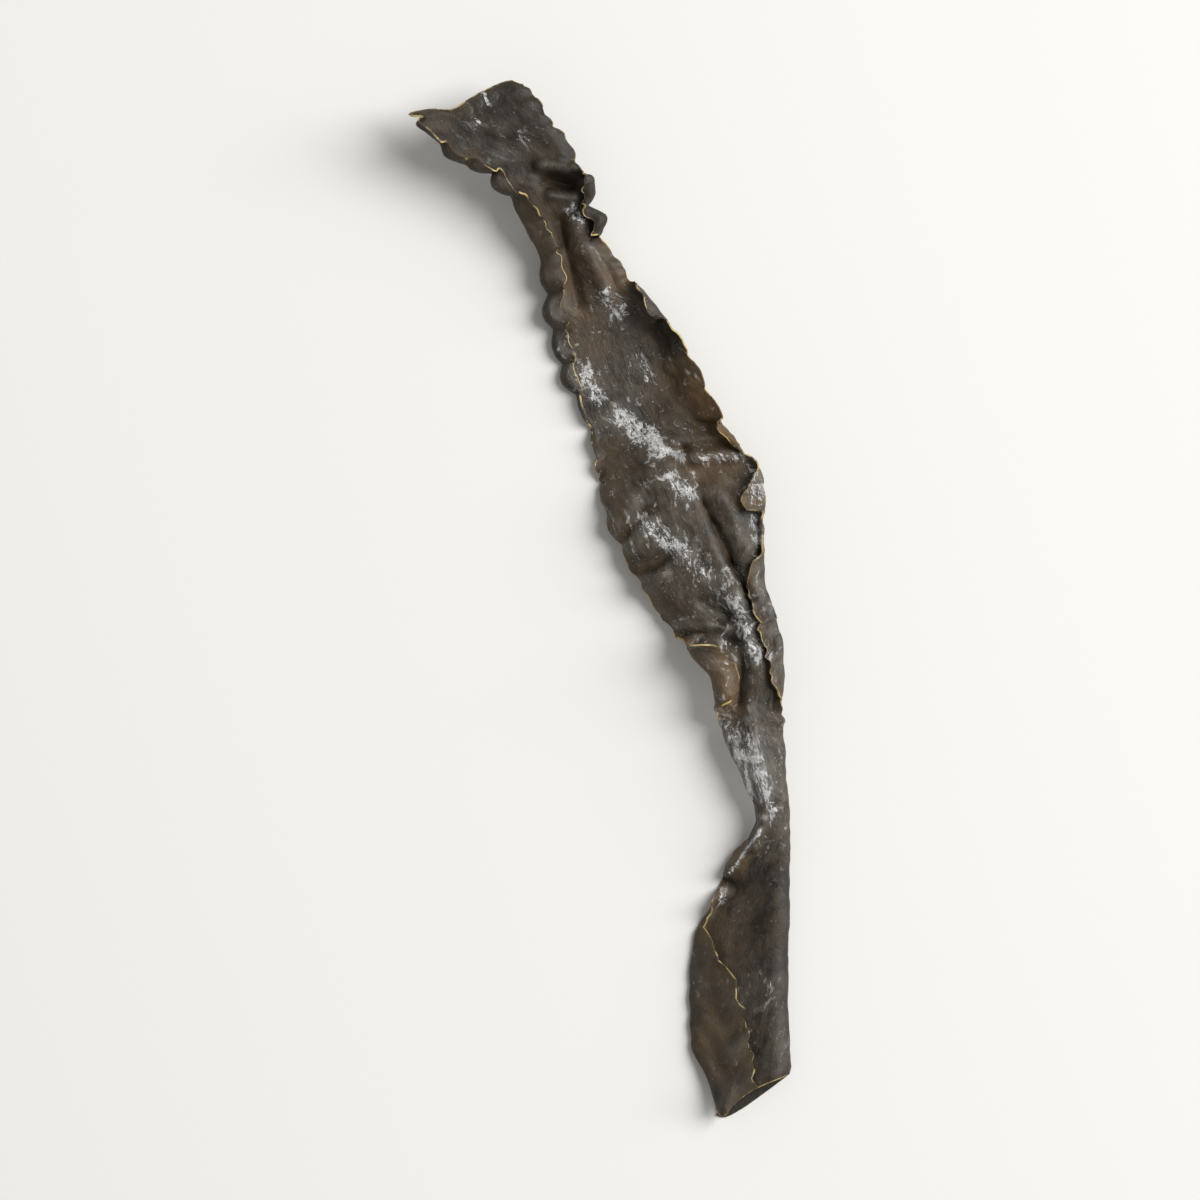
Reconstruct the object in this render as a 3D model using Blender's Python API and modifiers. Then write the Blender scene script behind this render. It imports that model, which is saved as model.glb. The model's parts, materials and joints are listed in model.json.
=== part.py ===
"""A strip of dried kelp: one thin, leathery blade that curled, folded and ruffled as it dried.

It lies with its torn head raised at +Y and its rolled, cut tail at -Y. The sheet's middle surface
is worked out section by section, from the left free edge, round the left margin, over the base
and round the right margin to the right free edge, and then gets its thickness.
"""
import math

import bmesh
import bpy
import numpy as np

THICKNESS = 0.0009
FLOOR = THICKNESS / 2
FLOOR_EASE = 0.0012

STRIP_NAME = "kelp_strip"
COLLECTION_NAME = "dried_kelp_strip"
KELP_BROWN = (0.036, 0.028, 0.021, 1.0)
KELP_ROUGHNESS = 0.5

ROWS = 121
LEFT_CELLS = 7
BASE_CELLS = 9
RIGHT_CELLS = 7
MARGIN_STEPS = 72

# The outline seen from above: distance down the strip, then the left and the right point.
OUTLINE = (
    (0.0000, -0.0633, 0.1601, -0.0255, 0.1701),
    (0.0026, -0.0594, 0.1579, -0.0236, 0.1676),
    (0.0042, -0.0603, 0.1562, -0.0224, 0.1660),
    (0.0062, -0.0572, 0.1544, -0.0210, 0.1641),
    (0.0090, -0.0541, 0.1500, -0.0190, 0.1614),
    (0.0145, -0.0465, 0.1433, -0.0150, 0.1560),
    (0.0200, -0.0390, 0.1412, -0.0113, 0.1506),
    (0.0270, -0.0326, 0.1348, -0.0067, 0.1422),
    (0.0320, -0.0284, 0.1290, -0.0028, 0.1380),
    (0.0360, -0.0255, 0.1240, -0.0026, 0.1340),
    (0.0400, -0.0237, 0.1204, -0.0044, 0.1300),
    (0.0440, -0.0219, 0.1168, 0.0008, 0.1260),
    (0.0490, -0.0201, 0.1120, -0.0004, 0.1213),
    (0.0585, -0.0184, 0.1019, 0.0058, 0.1118),
    (0.0680, -0.0167, 0.0919, 0.0122, 0.1030),
    (0.080, -0.0139, 0.0796, 0.0233, 0.0907),
    (0.092, -0.0089, 0.0674, 0.0300, 0.0796),
    (0.104, -0.0033, 0.0552, 0.0361, 0.0674),
    (0.118, -0.0011, 0.0408, 0.0430, 0.0535),
    (0.125, 0.0004, 0.0336, 0.0494, 0.0466),
    (0.133, 0.0022, 0.0253, 0.0527, 0.0391),
    (0.147, 0.0100, 0.0108, 0.0533, 0.0264),
    (0.163, 0.0189, -0.0036, 0.0533, 0.0086),
    (0.176, 0.0283, -0.0158, 0.0577, -0.0069),
    (0.188, 0.0361, -0.0258, 0.0594, -0.0203),
    (0.201, 0.0377, -0.0369, 0.0594, -0.0358),
    (0.225, 0.0472, -0.0597, 0.0605, -0.0597),
    (0.238, 0.0511, -0.0724, 0.0616, -0.0724),
    (0.253, 0.0411, -0.0880, 0.0616, -0.0880),
    (0.264, 0.0372, -0.0991, 0.0616, -0.0991),
    (0.273, 0.0324, -0.1075, 0.0613, -0.1075),
    (0.277, 0.0308, -0.1120, 0.0611, -0.1112),
    (0.290, 0.0294, -0.1257, 0.0611, -0.1246),
    (0.317, 0.0300, -0.1485, 0.0622, -0.1551),
)

# Heights of the base's two ends and of the crown between them, at distances down the strip.
LEFT_HEIGHT = (
    (0.000, 0.0230), (0.016, 0.0190), (0.030, 0.0150), (0.045, 0.0102), (0.060, 0.0055),
    (0.078, 0.0014), (0.088, 0.0002), (0.102, 0.0008), (0.118, 0.0045), (0.133, 0.0090),
    (0.147, 0.0112), (0.176, 0.0115), (0.201, 0.0125), (0.225, 0.0122), (0.238, 0.0098),
    (0.250, 0.0052), (0.264, 0.0012), (0.276, 0.0004), (0.317, 0.0004),
)
RIGHT_HEIGHT = (
    (0.000, 0.0205), (0.016, 0.0180), (0.030, 0.0145), (0.045, 0.0098), (0.060, 0.0062),
    (0.078, 0.0030), (0.088, 0.0020), (0.102, 0.0030), (0.118, 0.0085), (0.133, 0.0130),
    (0.163, 0.0135), (0.201, 0.0138), (0.225, 0.0130), (0.238, 0.0116), (0.250, 0.0100),
    (0.264, 0.0086), (0.290, 0.0084), (0.317, 0.0090),
)
CROWN = (
    (0.000, -0.0010), (0.030, 0.0000), (0.050, 0.0010), (0.070, -0.0010), (0.092, -0.0020),
    (0.106, -0.0015), (0.122, 0.0025), (0.150, 0.0020), (0.176, 0.0010), (0.200, 0.0008),
    (0.225, 0.0012), (0.240, 0.0012), (0.264, 0.0010), (0.317, 0.0012),
)

# How far each margin turns, in degrees: up and over the base, or down and under it.
LEFT_TURN = (
    (0.000, 50), (0.006, 105), (0.010, 145), (0.030, 150), (0.038, 170), (0.056, 172),
    (0.066, 168), (0.078, 168), (0.088, 172), (0.092, 120), (0.098, 85), (0.104, 60),
    (0.112, 40), (0.120, -36), (0.160, -38), (0.171, 0), (0.178, 170), (0.184, 215),
    (0.192, 220), (0.198, 140), (0.203, 20), (0.208, -120), (0.213, -172), (0.238, -174),
    (0.246, -140), (0.253, -70), (0.260, 20), (0.267, 130), (0.275, 172), (0.317, 181),
)
RIGHT_TURN = (
    (0.000, -20), (0.021, -30), (0.0275, 50), (0.032, 165), (0.036, 190), (0.0395, 120),
    (0.0425, 190), (0.046, 205), (0.0505, 70), (0.055, -25), (0.064, 0), (0.0665, 65),
    (0.0695, 135), (0.074, 160), (0.078, 66), (0.083, 36), (0.094, 20), (0.108, 22),
    (0.1155, 150), (0.1185, 155), (0.1235, 75), (0.1265, 80), (0.132, 165), (0.1395, 178),
    (0.143, 112), (0.154, 105), (0.160, 160), (0.190, 172), (0.196, 120),
    (0.201, 0), (0.206, -120), (0.211, -174), (0.317, -178),
)
LEFT_RADIUS = (
    (0.000, 0.0015), (0.016, 0.0017), (0.036, 0.0014), (0.058, 0.0015), (0.078, 0.0015),
    (0.086, 0.0020), (0.104, 0.0024), (0.120, 0.0040), (0.165, 0.0040), (0.177, 0.0028),
    (0.195, 0.0032), (0.205, 0.0016), (0.264, 0.0015), (0.317, 0.0016),
)
RIGHT_RADIUS = (
    (0.000, 0.0040), (0.026, 0.0030), (0.033, 0.0021), (0.047, 0.0023), (0.056, 0.0040),
    (0.069, 0.0036), (0.076, 0.0036), (0.084, 0.0068), (0.109, 0.0056), (0.1165, 0.0019),
    (0.128, 0.0022), (0.136, 0.0022), (0.145, 0.0018), (0.160, 0.0013), (0.190, 0.0012),
    (0.206, 0.0022), (0.225, 0.0026), (0.238, 0.0030), (0.255, 0.0038),
    (0.264, 0.0041), (0.290, 0.0041), (0.317, 0.0044),
)
LEFT_LENGTH = (
    (0.000, 0.0030), (0.008, 0.0058), (0.016, 0.0074), (0.030, 0.0084), (0.042, 0.0105),
    (0.058, 0.0105), (0.068, 0.0082), (0.086, 0.0082), (0.095, 0.0062), (0.104, 0.0044),
    (0.116, 0.0044), (0.160, 0.0050), (0.170, 0.0080), (0.180, 0.0165), (0.192, 0.0165),
    (0.203, 0.0055), (0.213, 0.0080), (0.230, 0.0064), (0.243, 0.0050), (0.250, 0.0056),
    (0.258, 0.0062), (0.272, 0.0068), (0.276, 0.0084), (0.281, 0.0140), (0.288, 0.0205),
    (0.302, 0.0262), (0.317, 0.0300),
)
RIGHT_LENGTH = (
    (0.000, 0.0040), (0.025, 0.0040), (0.032, 0.0085), (0.047, 0.0095), (0.055, 0.0040),
    (0.063, 0.0040), (0.070, 0.0082), (0.080, 0.0125), (0.108, 0.0135), (0.1165, 0.0068),
    (0.1225, 0.0050), (0.126, 0.0056), (0.133, 0.0100), (0.1400, 0.0125), (0.1435, 0.0056),
    (0.154, 0.0052), (0.165, 0.0095), (0.180, 0.0090), (0.194, 0.0060), (0.201, 0.0042),
    (0.210, 0.0080), (0.225, 0.0092), (0.243, 0.0098),
    (0.256, 0.0130), (0.270, 0.0240), (0.300, 0.0300), (0.317, 0.0312),
)

# Where the ruffles of each margin stand out, down the strip, and how strong they are. Each has
# a round top and a pinch beside it, is as strong as its number makes it, and swings the margin's
# turn, length, radius and place. A ruffle also gathers the base a little, and the edge is ragged.
LEFT_CRESTS = (
    -0.006, 0.002, 0.0090, 0.0145, 0.0216, 0.0290, 0.0400, 0.0540, 0.0650, 0.0765, 0.0860,
    0.0975, 0.1085, 0.1160, 0.1235, 0.1340, 0.1450, 0.1570, 0.1690, 0.1800, 0.1920,
    0.2030, 0.2150, 0.2270, 0.2390, 0.2500, 0.2620, 0.2740, 0.2860, 0.2960, 0.3060, 0.3180,
)
RIGHT_CRESTS = (
    -0.004, 0.0080, 0.0200, 0.0350, 0.0440, 0.0560, 0.0720, 0.0860, 0.0960, 0.1070, 0.1180,
    0.1280, 0.1400, 0.1520, 0.1620, 0.1720, 0.1820, 0.1930, 0.2040, 0.2160, 0.2280, 0.2400,
    0.2540, 0.2700, 0.2860, 0.3020, 0.3200,
)
LEFT_RUFFLE = (
    (0.000, -0.4), (0.008, -1.0), (0.028, -1.1), (0.035, 0.0), (0.046, 0.2), (0.054, 1.1),
    (0.066, 1.3), (0.076, 0.6), (0.086, 1.1), (0.099, 0.8), (0.110, 0.4), (0.125, 0.5),
    (0.160, 0.3), (0.176, 0.2), (0.236, 0.1), (0.260, 0.1), (0.317, 0.1),
)
RIGHT_RUFFLE = (
    (0.000, 0.4), (0.028, 0.3), (0.035, 0.5), (0.046, 0.5), (0.056, 0.3), (0.072, 0.6),
    (0.082, 0.25), (0.106, 0.25), (0.118, 0.5), (0.140, 0.35), (0.165, 0.25), (0.190, 0.3),
    (0.206, 0.1), (0.317, 0.0),
)
RUFFLE_TURN = 34.0
RUFFLE_LENGTH = 0.0014
RUFFLE_RADIUS = 0.22
SCALLOP = 0.0015
LEAN = 0.0019
GATHER = 0.0006
GATHER_RUN = 0.0070
PINCH = 0.2
PINCH_MEAN = 1.27
UNEVEN = (0.8, 0.35)
FRAY = 0.00035
RAGGED = ((0.0061, 0.3), (0.0043, 1.9), (0.0029, 4.0))

# A margin turned up this far, in degrees, lies over the base, and one turned down, under it.
LAID_OVER = (60, 130)
LAID_UNDER = (90, 170)
BASE_SHARE = 0.8
FOLD_SHARE = 0.4

# Creases and swells of the base: two ends of a line seen from above, half width and height.
FORMS = (
    (-0.0170, 0.1387, -0.0112, 0.1372, 0.0030, -0.0068),
    (-0.0200, 0.1430, -0.0100, 0.1418, 0.0019, 0.0026),
    (-0.0165, 0.1335, -0.0095, 0.1330, 0.0018, 0.0016),
    (-0.0330, 0.1560, -0.0200, 0.1630, 0.0050, 0.0014),
    (-0.0300, 0.1490, -0.0200, 0.1500, 0.0040, -0.0012),
    (-0.0140, 0.1250, -0.0080, 0.0985, 0.0024, -0.0030),
    (-0.0080, 0.1240, 0.0020, 0.1010, 0.0034, 0.0026),
    (0.0000, 0.1120, 0.0060, 0.1000, 0.0016, -0.0010),
    (0.0110, 0.0930, 0.0190, 0.0840, 0.0040, -0.0016),
    (0.0216, 0.0447, 0.0311, 0.0475, 0.0022, 0.0024),
    (0.0311, 0.0475, 0.0462, 0.0480, 0.0022, 0.0034),
    (0.0220, 0.0490, 0.0272, 0.0503, 0.0015, -0.0016),
    (0.0272, 0.0503, 0.0420, 0.0515, 0.0017, -0.0024),
    (0.0330, 0.0395, 0.0440, 0.0385, 0.0034, -0.0016),
    (0.0335, 0.0325, 0.0430, 0.0130, 0.0016, -0.0025),
    (0.0430, 0.0130, 0.0494, 0.0003, 0.0015, -0.0022),
    (0.0383, 0.0364, 0.0480, 0.0160, 0.0042, 0.0022),
    (0.0067, 0.0200, 0.0141, 0.0293, 0.0016, -0.0020),
    (0.0035, 0.0250, 0.0100, 0.0330, 0.0030, 0.0012),
    (0.0100, 0.0180, 0.0165, 0.0260, 0.0028, 0.0014),
    (0.0132, 0.0047, 0.0194, 0.0082, 0.0020, 0.0028),
    (0.0194, 0.0082, 0.0273, 0.0143, 0.0024, 0.0026),
    (0.0140, 0.0125, 0.0205, 0.0140, 0.0040, -0.0034),
    (0.0190, -0.0010, 0.0265, -0.0120, 0.0046, -0.0032),
    (0.0350, -0.0010, 0.0405, -0.0050, 0.0036, -0.0024),
    (0.0070, 0.0340, 0.0160, 0.0420, 0.0060, 0.0014),
    (0.0440, 0.0020, 0.0500, -0.0200, 0.0030, 0.0020),
    (0.0265, -0.0075, 0.0400, -0.0085, 0.0022, 0.0026),
    (0.0410, -0.0135, 0.0450, -0.0140, 0.0020, -0.0024),
    (0.0465, -0.0190, 0.0450, -0.0330, 0.0020, -0.0026),
    (0.0480, -0.0360, 0.0545, -0.0640, 0.0028, 0.0014),
    (0.0530, -0.0715, 0.0500, -0.0810, 0.0015, 0.0026),
    (0.0500, -0.0810, 0.0416, -0.0896, 0.0015, 0.0026),
    (0.0416, -0.0896, 0.0350, -0.1040, 0.0018, 0.0014),
    (0.0500, -0.0880, 0.0480, -0.1100, 0.0050, -0.0012),
    (0.0440, -0.1440, 0.0437, -0.1680, 0.0018, 0.0016),
    (0.0370, -0.1250, 0.0380, -0.1480, 0.0040, -0.0008),
)

# How far the ends reach past the outline's end lines, at shares of the way from left to right.
HEAD_REACH = ((0.00, 0.0), (0.18, -0.0006), (0.35, -0.0024), (0.52, -0.0006), (0.65, 0.0008),
              (0.87, 0.0019), (1.00, 0.0))
HEAD_RUN = 0.014
TAIL_REACH_TOP = ((0.00, 0.0), (0.20, 0.0078), (0.43, 0.0190), (0.50, 0.0150), (0.66, 0.0088),
                  (0.76, 0.0062), (0.89, 0.0032), (1.00, 0.0004))
TAIL_REACH_UNDER = ((0.00, 0.0140), (0.43, 0.0196), (0.60, 0.0158), (0.75, 0.0106),
                    (0.89, 0.0055), (1.00, 0.0012))
TAIL_RUN = 0.042

# Rows of the mesh stand closer where the margins turn quickly.
ROW_DENSITY = ((0.000, 1.5), (0.060, 1.5), (0.070, 1.2), (0.120, 1.2), (0.135, 0.9),
               (0.165, 1.0), (0.172, 1.7), (0.212, 1.7), (0.220, 0.9), (0.236, 1.0),
               (0.244, 1.6), (0.264, 1.5), (0.275, 0.7), (0.300, 0.7), (0.317, 0.9))


def through(keys, where):
    """Smooth curve through (place, value) keys, with no swing past a key's value."""
    place, value = (np.array(column, dtype=float) for column in zip(*keys))
    step = np.diff(place)
    rise = np.diff(value) / step
    slope = np.zeros_like(value)
    same = rise[:-1] * rise[1:] > 0
    weight = step[1:] + 2 * step[:-1], 2 * step[1:] + step[:-1]
    safe_left = np.where(same, rise[:-1], 1.0)
    safe_right = np.where(same, rise[1:], 1.0)
    inner = (weight[0] + weight[1]) / (weight[1] / safe_left + weight[0] / safe_right)
    slope[1:-1] = np.where(same, inner, 0.0)
    slope[0], slope[-1] = rise[0], rise[-1]
    where = np.clip(where, place[0], place[-1])
    span = np.clip(np.searchsorted(place, where, side="right") - 1, 0, len(step) - 1)
    t = (where - place[span]) / step[span]
    return ((1 + 2 * t) * (1 - t) ** 2 * value[span]
            + t * (1 - t) ** 2 * step[span] * slope[span]
            + t * t * (3 - 2 * t) * value[span + 1]
            + t * t * (t - 1) * step[span] * slope[span + 1])


def smooth_step(low, high, value):
    t = np.clip((value - low) / (high - low), 0.0, 1.0)
    return t * t * (3 - 2 * t)


def wave(crests, where):
    """A wave with a round top at each crest and a pinch between two, and its sideways lean."""
    number = np.arange(len(crests))
    turns = np.interp(where, crests, number)
    usual, swing = UNEVEN
    uneven = np.interp(where, crests, usual + swing * np.sin(2.3 * number + 0.4 * number ** 2))
    pinched = 2 * np.abs(np.cos(math.pi * turns)) - PINCH_MEAN
    crest = PINCH * pinched + (1 - PINCH) * np.cos(2 * math.pi * turns)
    return uneven * crest, uneven * np.sin(2 * math.pi * turns)


def ragged(where):
    """Small unevenness of a free edge."""
    return sum(np.sin(2 * math.pi * where / length + turn) for length, turn in RAGGED) / 2


def forms(x, y):
    """Height that the creases and swells add at a place seen from above."""
    height = np.zeros_like(x)
    for x1, y1, x2, y2, half_width, rise in FORMS:
        run_x, run_y = x2 - x1, y2 - y1
        t = np.clip(((x - x1) * run_x + (y - y1) * run_y) / (run_x ** 2 + run_y ** 2), 0, 1)
        gap = (x - x1 - t * run_x) ** 2 + (y - y1 - t * run_y) ** 2
        height += rise * np.exp(-gap / half_width ** 2)
    return height


def rest_on_floor(height):
    """Lift what would sink, with a truly flat patch where the sheet touches the floor."""
    over = height - FLOOR
    eased = np.where(over < FLOOR_EASE, over ** 2 / (2 * FLOOR_EASE), over - FLOOR_EASE / 2)
    return FLOOR + np.where(over > 0, eased, 0.0)


def margin_curve(turn, radius, length, start):
    """Way out and way up from the base's end, along each row's margin."""
    share = np.linspace(0, 1, MARGIN_STEPS + 1)
    middle = (share[:-1] + share[1:]) / 2
    bend = np.maximum(radius * np.abs(turn), 0.0006)
    eased = np.clip(middle[None, :] * length[:, None] / bend[:, None], 0, 1)
    angle = start[:, None] + turn[:, None] * eased
    step = (length / MARGIN_STEPS)[:, None]
    zero = np.zeros((len(length), 1))
    out = np.concatenate([zero, np.cumsum(np.cos(angle) * step, axis=1)], axis=1)
    up = np.concatenate([zero, np.cumsum(np.sin(angle) * step, axis=1)], axis=1)
    return out, up


def pick(values, cells):
    """Values at the margin's mesh columns, which stand a little closer near the base."""
    share = np.linspace(0, 1, cells + 1)[1:]
    place = share * MARGIN_STEPS
    low = np.minimum(place.astype(int), MARGIN_STEPS - 1)
    part = place - low
    return values[:, low] * (1 - part) + values[:, low + 1] * part


def margin(side, along, start):
    """One margin's curve and ruffle wave at each row."""
    turns, radii, lengths, crests, ruffles = side
    crest, drift = wave(crests, along)
    ruffle = through(ruffles, along)
    turn = through(turns, along) + RUFFLE_TURN * ruffle * crest
    radius = through(radii, along) * (1 + RUFFLE_RADIUS * ruffle * crest)
    length = through(lengths, along) + RUFFLE_LENGTH * ruffle * crest + FRAY * ragged(along)
    out, up = margin_curve(np.radians(turn), radius, length, start)
    over = smooth_step(*LAID_OVER, turn)[:, None]
    under = smooth_step(*LAID_UNDER, -turn)[:, None]
    return {"out": out, "up": up, "reach": out.max(axis=1), "crest": crest * ruffle,
            "drift": drift * ruffle, "over": over, "under": under}


LEFT_SIDE = (LEFT_TURN, LEFT_RADIUS, LEFT_LENGTH, LEFT_CRESTS, LEFT_RUFFLE)
RIGHT_SIDE = (RIGHT_TURN, RIGHT_RADIUS, RIGHT_LENGTH, RIGHT_CRESTS, RIGHT_RUFFLE)


def row_places(rows):
    """Distances down the strip of the mesh's rows."""
    fine = np.linspace(OUTLINE[0][0], OUTLINE[-1][0], 2000)
    density = through(ROW_DENSITY, fine)
    total = np.concatenate([[0.0], np.cumsum((density[1:] + density[:-1]) / 2)])
    return np.interp(np.linspace(0, total[-1], rows + 1), total, fine)


def sheet(rows, left_cells, base_cells, right_cells):
    """Middle surface of the strip: an array of points, rows down and columns across."""
    along = row_places(rows)
    ends = [through([(key[0], key[i]) for key in OUTLINE], along) for i in range(1, 5)]
    left = np.stack(ends[:2], axis=1)
    right = np.stack(ends[2:], axis=1)
    across = right - left
    width = np.linalg.norm(across, axis=1)
    across /= width[:, None]
    down = np.stack([across[:, 1], -across[:, 0]], axis=1)

    left_height = through(LEFT_HEIGHT, along)
    right_height = through(RIGHT_HEIGHT, along)
    crown = through(CROWN, along)
    climb = right_height - left_height
    left_slope = (climb + 4 * crown) / (BASE_SHARE * width)
    right_slope = (climb - 4 * crown) / (BASE_SHARE * width)
    left_margin = margin(LEFT_SIDE, along, -np.arctan(left_slope))
    right_margin = margin(RIGHT_SIDE, along, np.arctan(right_slope))
    left = left - across * (SCALLOP * left_margin["crest"])[:, None]
    width = width + SCALLOP * (left_margin["crest"] + right_margin["crest"])
    base_start = left_margin["reach"]
    base_end = width - right_margin["reach"]
    base_width = base_end - base_start

    share = np.linspace(0, 1, base_cells + 1)[None, :]
    base_x = base_start[:, None] + base_width[:, None] * share
    base_z = (left_height[:, None] + climb[:, None] * share
              + 4 * crown[:, None] * share * (1 - share))

    left_gather = GATHER * left_margin["crest"] * (1 - left_margin["under"][:, 0])
    right_gather = GATHER * right_margin["crest"] * (1 - right_margin["under"][:, 0])
    from_left = (base_x - base_start[:, None]) / GATHER_RUN
    from_right = (base_end[:, None] - base_x) / GATHER_RUN
    base_z += left_gather[:, None] * np.exp(-from_left ** 2)
    base_z += right_gather[:, None] * np.exp(-from_right ** 2)

    def hung(side, cells, inner, sign, height):
        out = pick(side["out"], cells)
        up = pick(side["up"], cells)
        inward = np.clip(-out / base_width[:, None], 0, 1)
        x = inner[:, None] + sign * out
        z = height[:, None] + up - side["over"] * 4 * crown[:, None] * inward ** 2
        return x, z

    left_x, left_z = hung(
        left_margin, left_cells, base_start, -1, left_height + left_gather)
    right_x, right_z = hung(
        right_margin, right_cells, base_end, 1, right_height + right_gather)
    x = np.concatenate([left_x[:, ::-1], base_x, right_x], axis=1)
    z = np.concatenate([left_z[:, ::-1], base_z, right_z], axis=1)

    plan_x = left[:, 0:1] + across[:, 0:1] * x
    plan_y = left[:, 1:2] + across[:, 1:2] * x
    left_columns = slice(0, left_cells)
    right_columns = slice(left_cells + base_cells + 1, None)
    to_left_edge = np.linspace(1, 0, left_cells + 1)[None, :-1]
    to_right_edge = np.linspace(0, 1, right_cells + 1)[None, 1:]
    swell = forms(plan_x, plan_y)
    swell[:, left_columns] *= 1 - left_margin["under"]
    swell[:, right_columns] *= 1 - right_margin["under"]
    z = z + swell

    lean = np.zeros_like(x)
    lean[:, left_columns] = LEAN * left_margin["drift"][:, None] * to_left_edge
    lean[:, right_columns] = LEAN * right_margin["drift"][:, None] * to_right_edge

    across_share = np.clip(x / width[:, None], 0, 1)
    head = through(HEAD_REACH, across_share) * smooth_step(HEAD_RUN, 0.0, along)[:, None]
    tail = through(TAIL_REACH_TOP, across_share)
    lower = through(TAIL_REACH_UNDER, across_share[:, right_columns])
    past_fold = right_margin["under"] * smooth_step(0.0, FOLD_SHARE, to_right_edge)
    tail[:, right_columns] += (lower - tail[:, right_columns]) * past_fold
    tail *= smooth_step(OUTLINE[-1][0] - TAIL_RUN, OUTLINE[-1][0], along)[:, None]
    shift = lean - head + tail
    plan_x = plan_x + down[:, 0:1] * shift
    plan_y = plan_y + down[:, 1:2] * shift
    return np.stack([plan_x, plan_y, rest_on_floor(z)], axis=2)


def strip_mesh(name, points):
    """A triangle mesh through an array of points."""
    rows, columns = points.shape[0] - 1, points.shape[1] - 1
    model = bmesh.new()
    bmesh.ops.create_grid(model, x_segments=columns, y_segments=rows, size=0.5)
    model.verts.ensure_lookup_table()
    for vert in model.verts:
        column = round((vert.co.x + 0.5) * columns)
        row = round((0.5 - vert.co.y) * rows)
        vert.co = points[row, column]
    bmesh.ops.triangulate(model, faces=model.faces[:], quad_method="SHORT_EDGE")
    mesh = bpy.data.meshes.new(name)
    model.to_mesh(mesh)
    model.free()
    mesh.shade_smooth()
    return mesh


def kelp_material():
    material = bpy.data.materials.new("dried_kelp")
    material.use_nodes = True
    shader = material.node_tree.nodes["Principled BSDF"]
    shader.inputs["Base Color"].default_value = KELP_BROWN
    shader.inputs["Roughness"].default_value = KELP_ROUGHNESS
    shader.inputs["Metallic"].default_value = 0.0
    return material


def clear_scene():
    for old in list(bpy.data.objects):
        bpy.data.objects.remove(old, do_unlink=True)


def build():
    clear_scene()
    collection = bpy.data.collections.new(COLLECTION_NAME)
    bpy.context.scene.collection.children.link(collection)
    points = sheet(ROWS, LEFT_CELLS, BASE_CELLS, RIGHT_CELLS)
    strip = bpy.data.objects.new(STRIP_NAME, strip_mesh(STRIP_NAME, points))
    collection.objects.link(strip)
    strip.data.materials.append(kelp_material())
    wall = strip.modifiers.new("sheet thickness", "SOLIDIFY")
    wall.thickness = THICKNESS
    wall.offset = 0.0
    wall.use_even_offset = False


build()
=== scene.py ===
"""Dresses the dried kelp strip: its skin with amber edges, its salt bloom, and a pale studio.

Run as a script in Blender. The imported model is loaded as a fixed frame, and every piece is made
where that frame says, in metres.
"""
import json
import math

import bmesh
import bpy
import numpy as np
from bpy.props import FloatProperty, FloatVectorProperty, IntProperty, PointerProperty
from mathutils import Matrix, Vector, noise

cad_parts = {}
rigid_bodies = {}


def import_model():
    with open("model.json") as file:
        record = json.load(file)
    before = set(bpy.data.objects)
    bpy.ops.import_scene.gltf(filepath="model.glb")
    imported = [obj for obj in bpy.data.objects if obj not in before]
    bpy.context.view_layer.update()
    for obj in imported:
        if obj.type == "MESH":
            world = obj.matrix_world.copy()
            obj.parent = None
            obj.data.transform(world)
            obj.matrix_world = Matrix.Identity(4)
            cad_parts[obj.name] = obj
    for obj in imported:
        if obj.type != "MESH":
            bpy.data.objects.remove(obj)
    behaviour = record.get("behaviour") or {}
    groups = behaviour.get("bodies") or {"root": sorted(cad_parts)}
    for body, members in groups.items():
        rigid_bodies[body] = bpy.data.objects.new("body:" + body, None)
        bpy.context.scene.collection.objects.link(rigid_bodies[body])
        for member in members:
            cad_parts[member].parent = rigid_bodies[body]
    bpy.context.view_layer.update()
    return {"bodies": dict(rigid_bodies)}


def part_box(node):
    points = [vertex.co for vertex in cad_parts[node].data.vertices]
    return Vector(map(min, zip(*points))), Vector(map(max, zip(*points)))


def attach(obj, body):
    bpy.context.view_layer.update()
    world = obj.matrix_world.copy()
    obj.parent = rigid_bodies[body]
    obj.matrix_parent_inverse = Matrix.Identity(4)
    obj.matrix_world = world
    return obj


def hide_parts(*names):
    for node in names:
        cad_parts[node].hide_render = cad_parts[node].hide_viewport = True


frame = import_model()

bl_info = {
    "name": "Dried Kelp Strip",
    "version": (1, 0, 0),
    "blender": (4, 5, 0),
    "location": "View3D > Sidebar > Kelp",
    "description": "Makes a dried kelp strip with ruffled margins, salt bloom and a studio",
    "category": "Add Mesh",
}

STRIP_NODE = "kelp_strip"
BODY = next(iter(frame["bodies"]))

THICKNESS = 0.0009
FLOOR = THICKNESS / 2
FLOOR_EASE = 0.0012
LEAST_BEND = 0.0006
MARGIN_STEPS = 72

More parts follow.
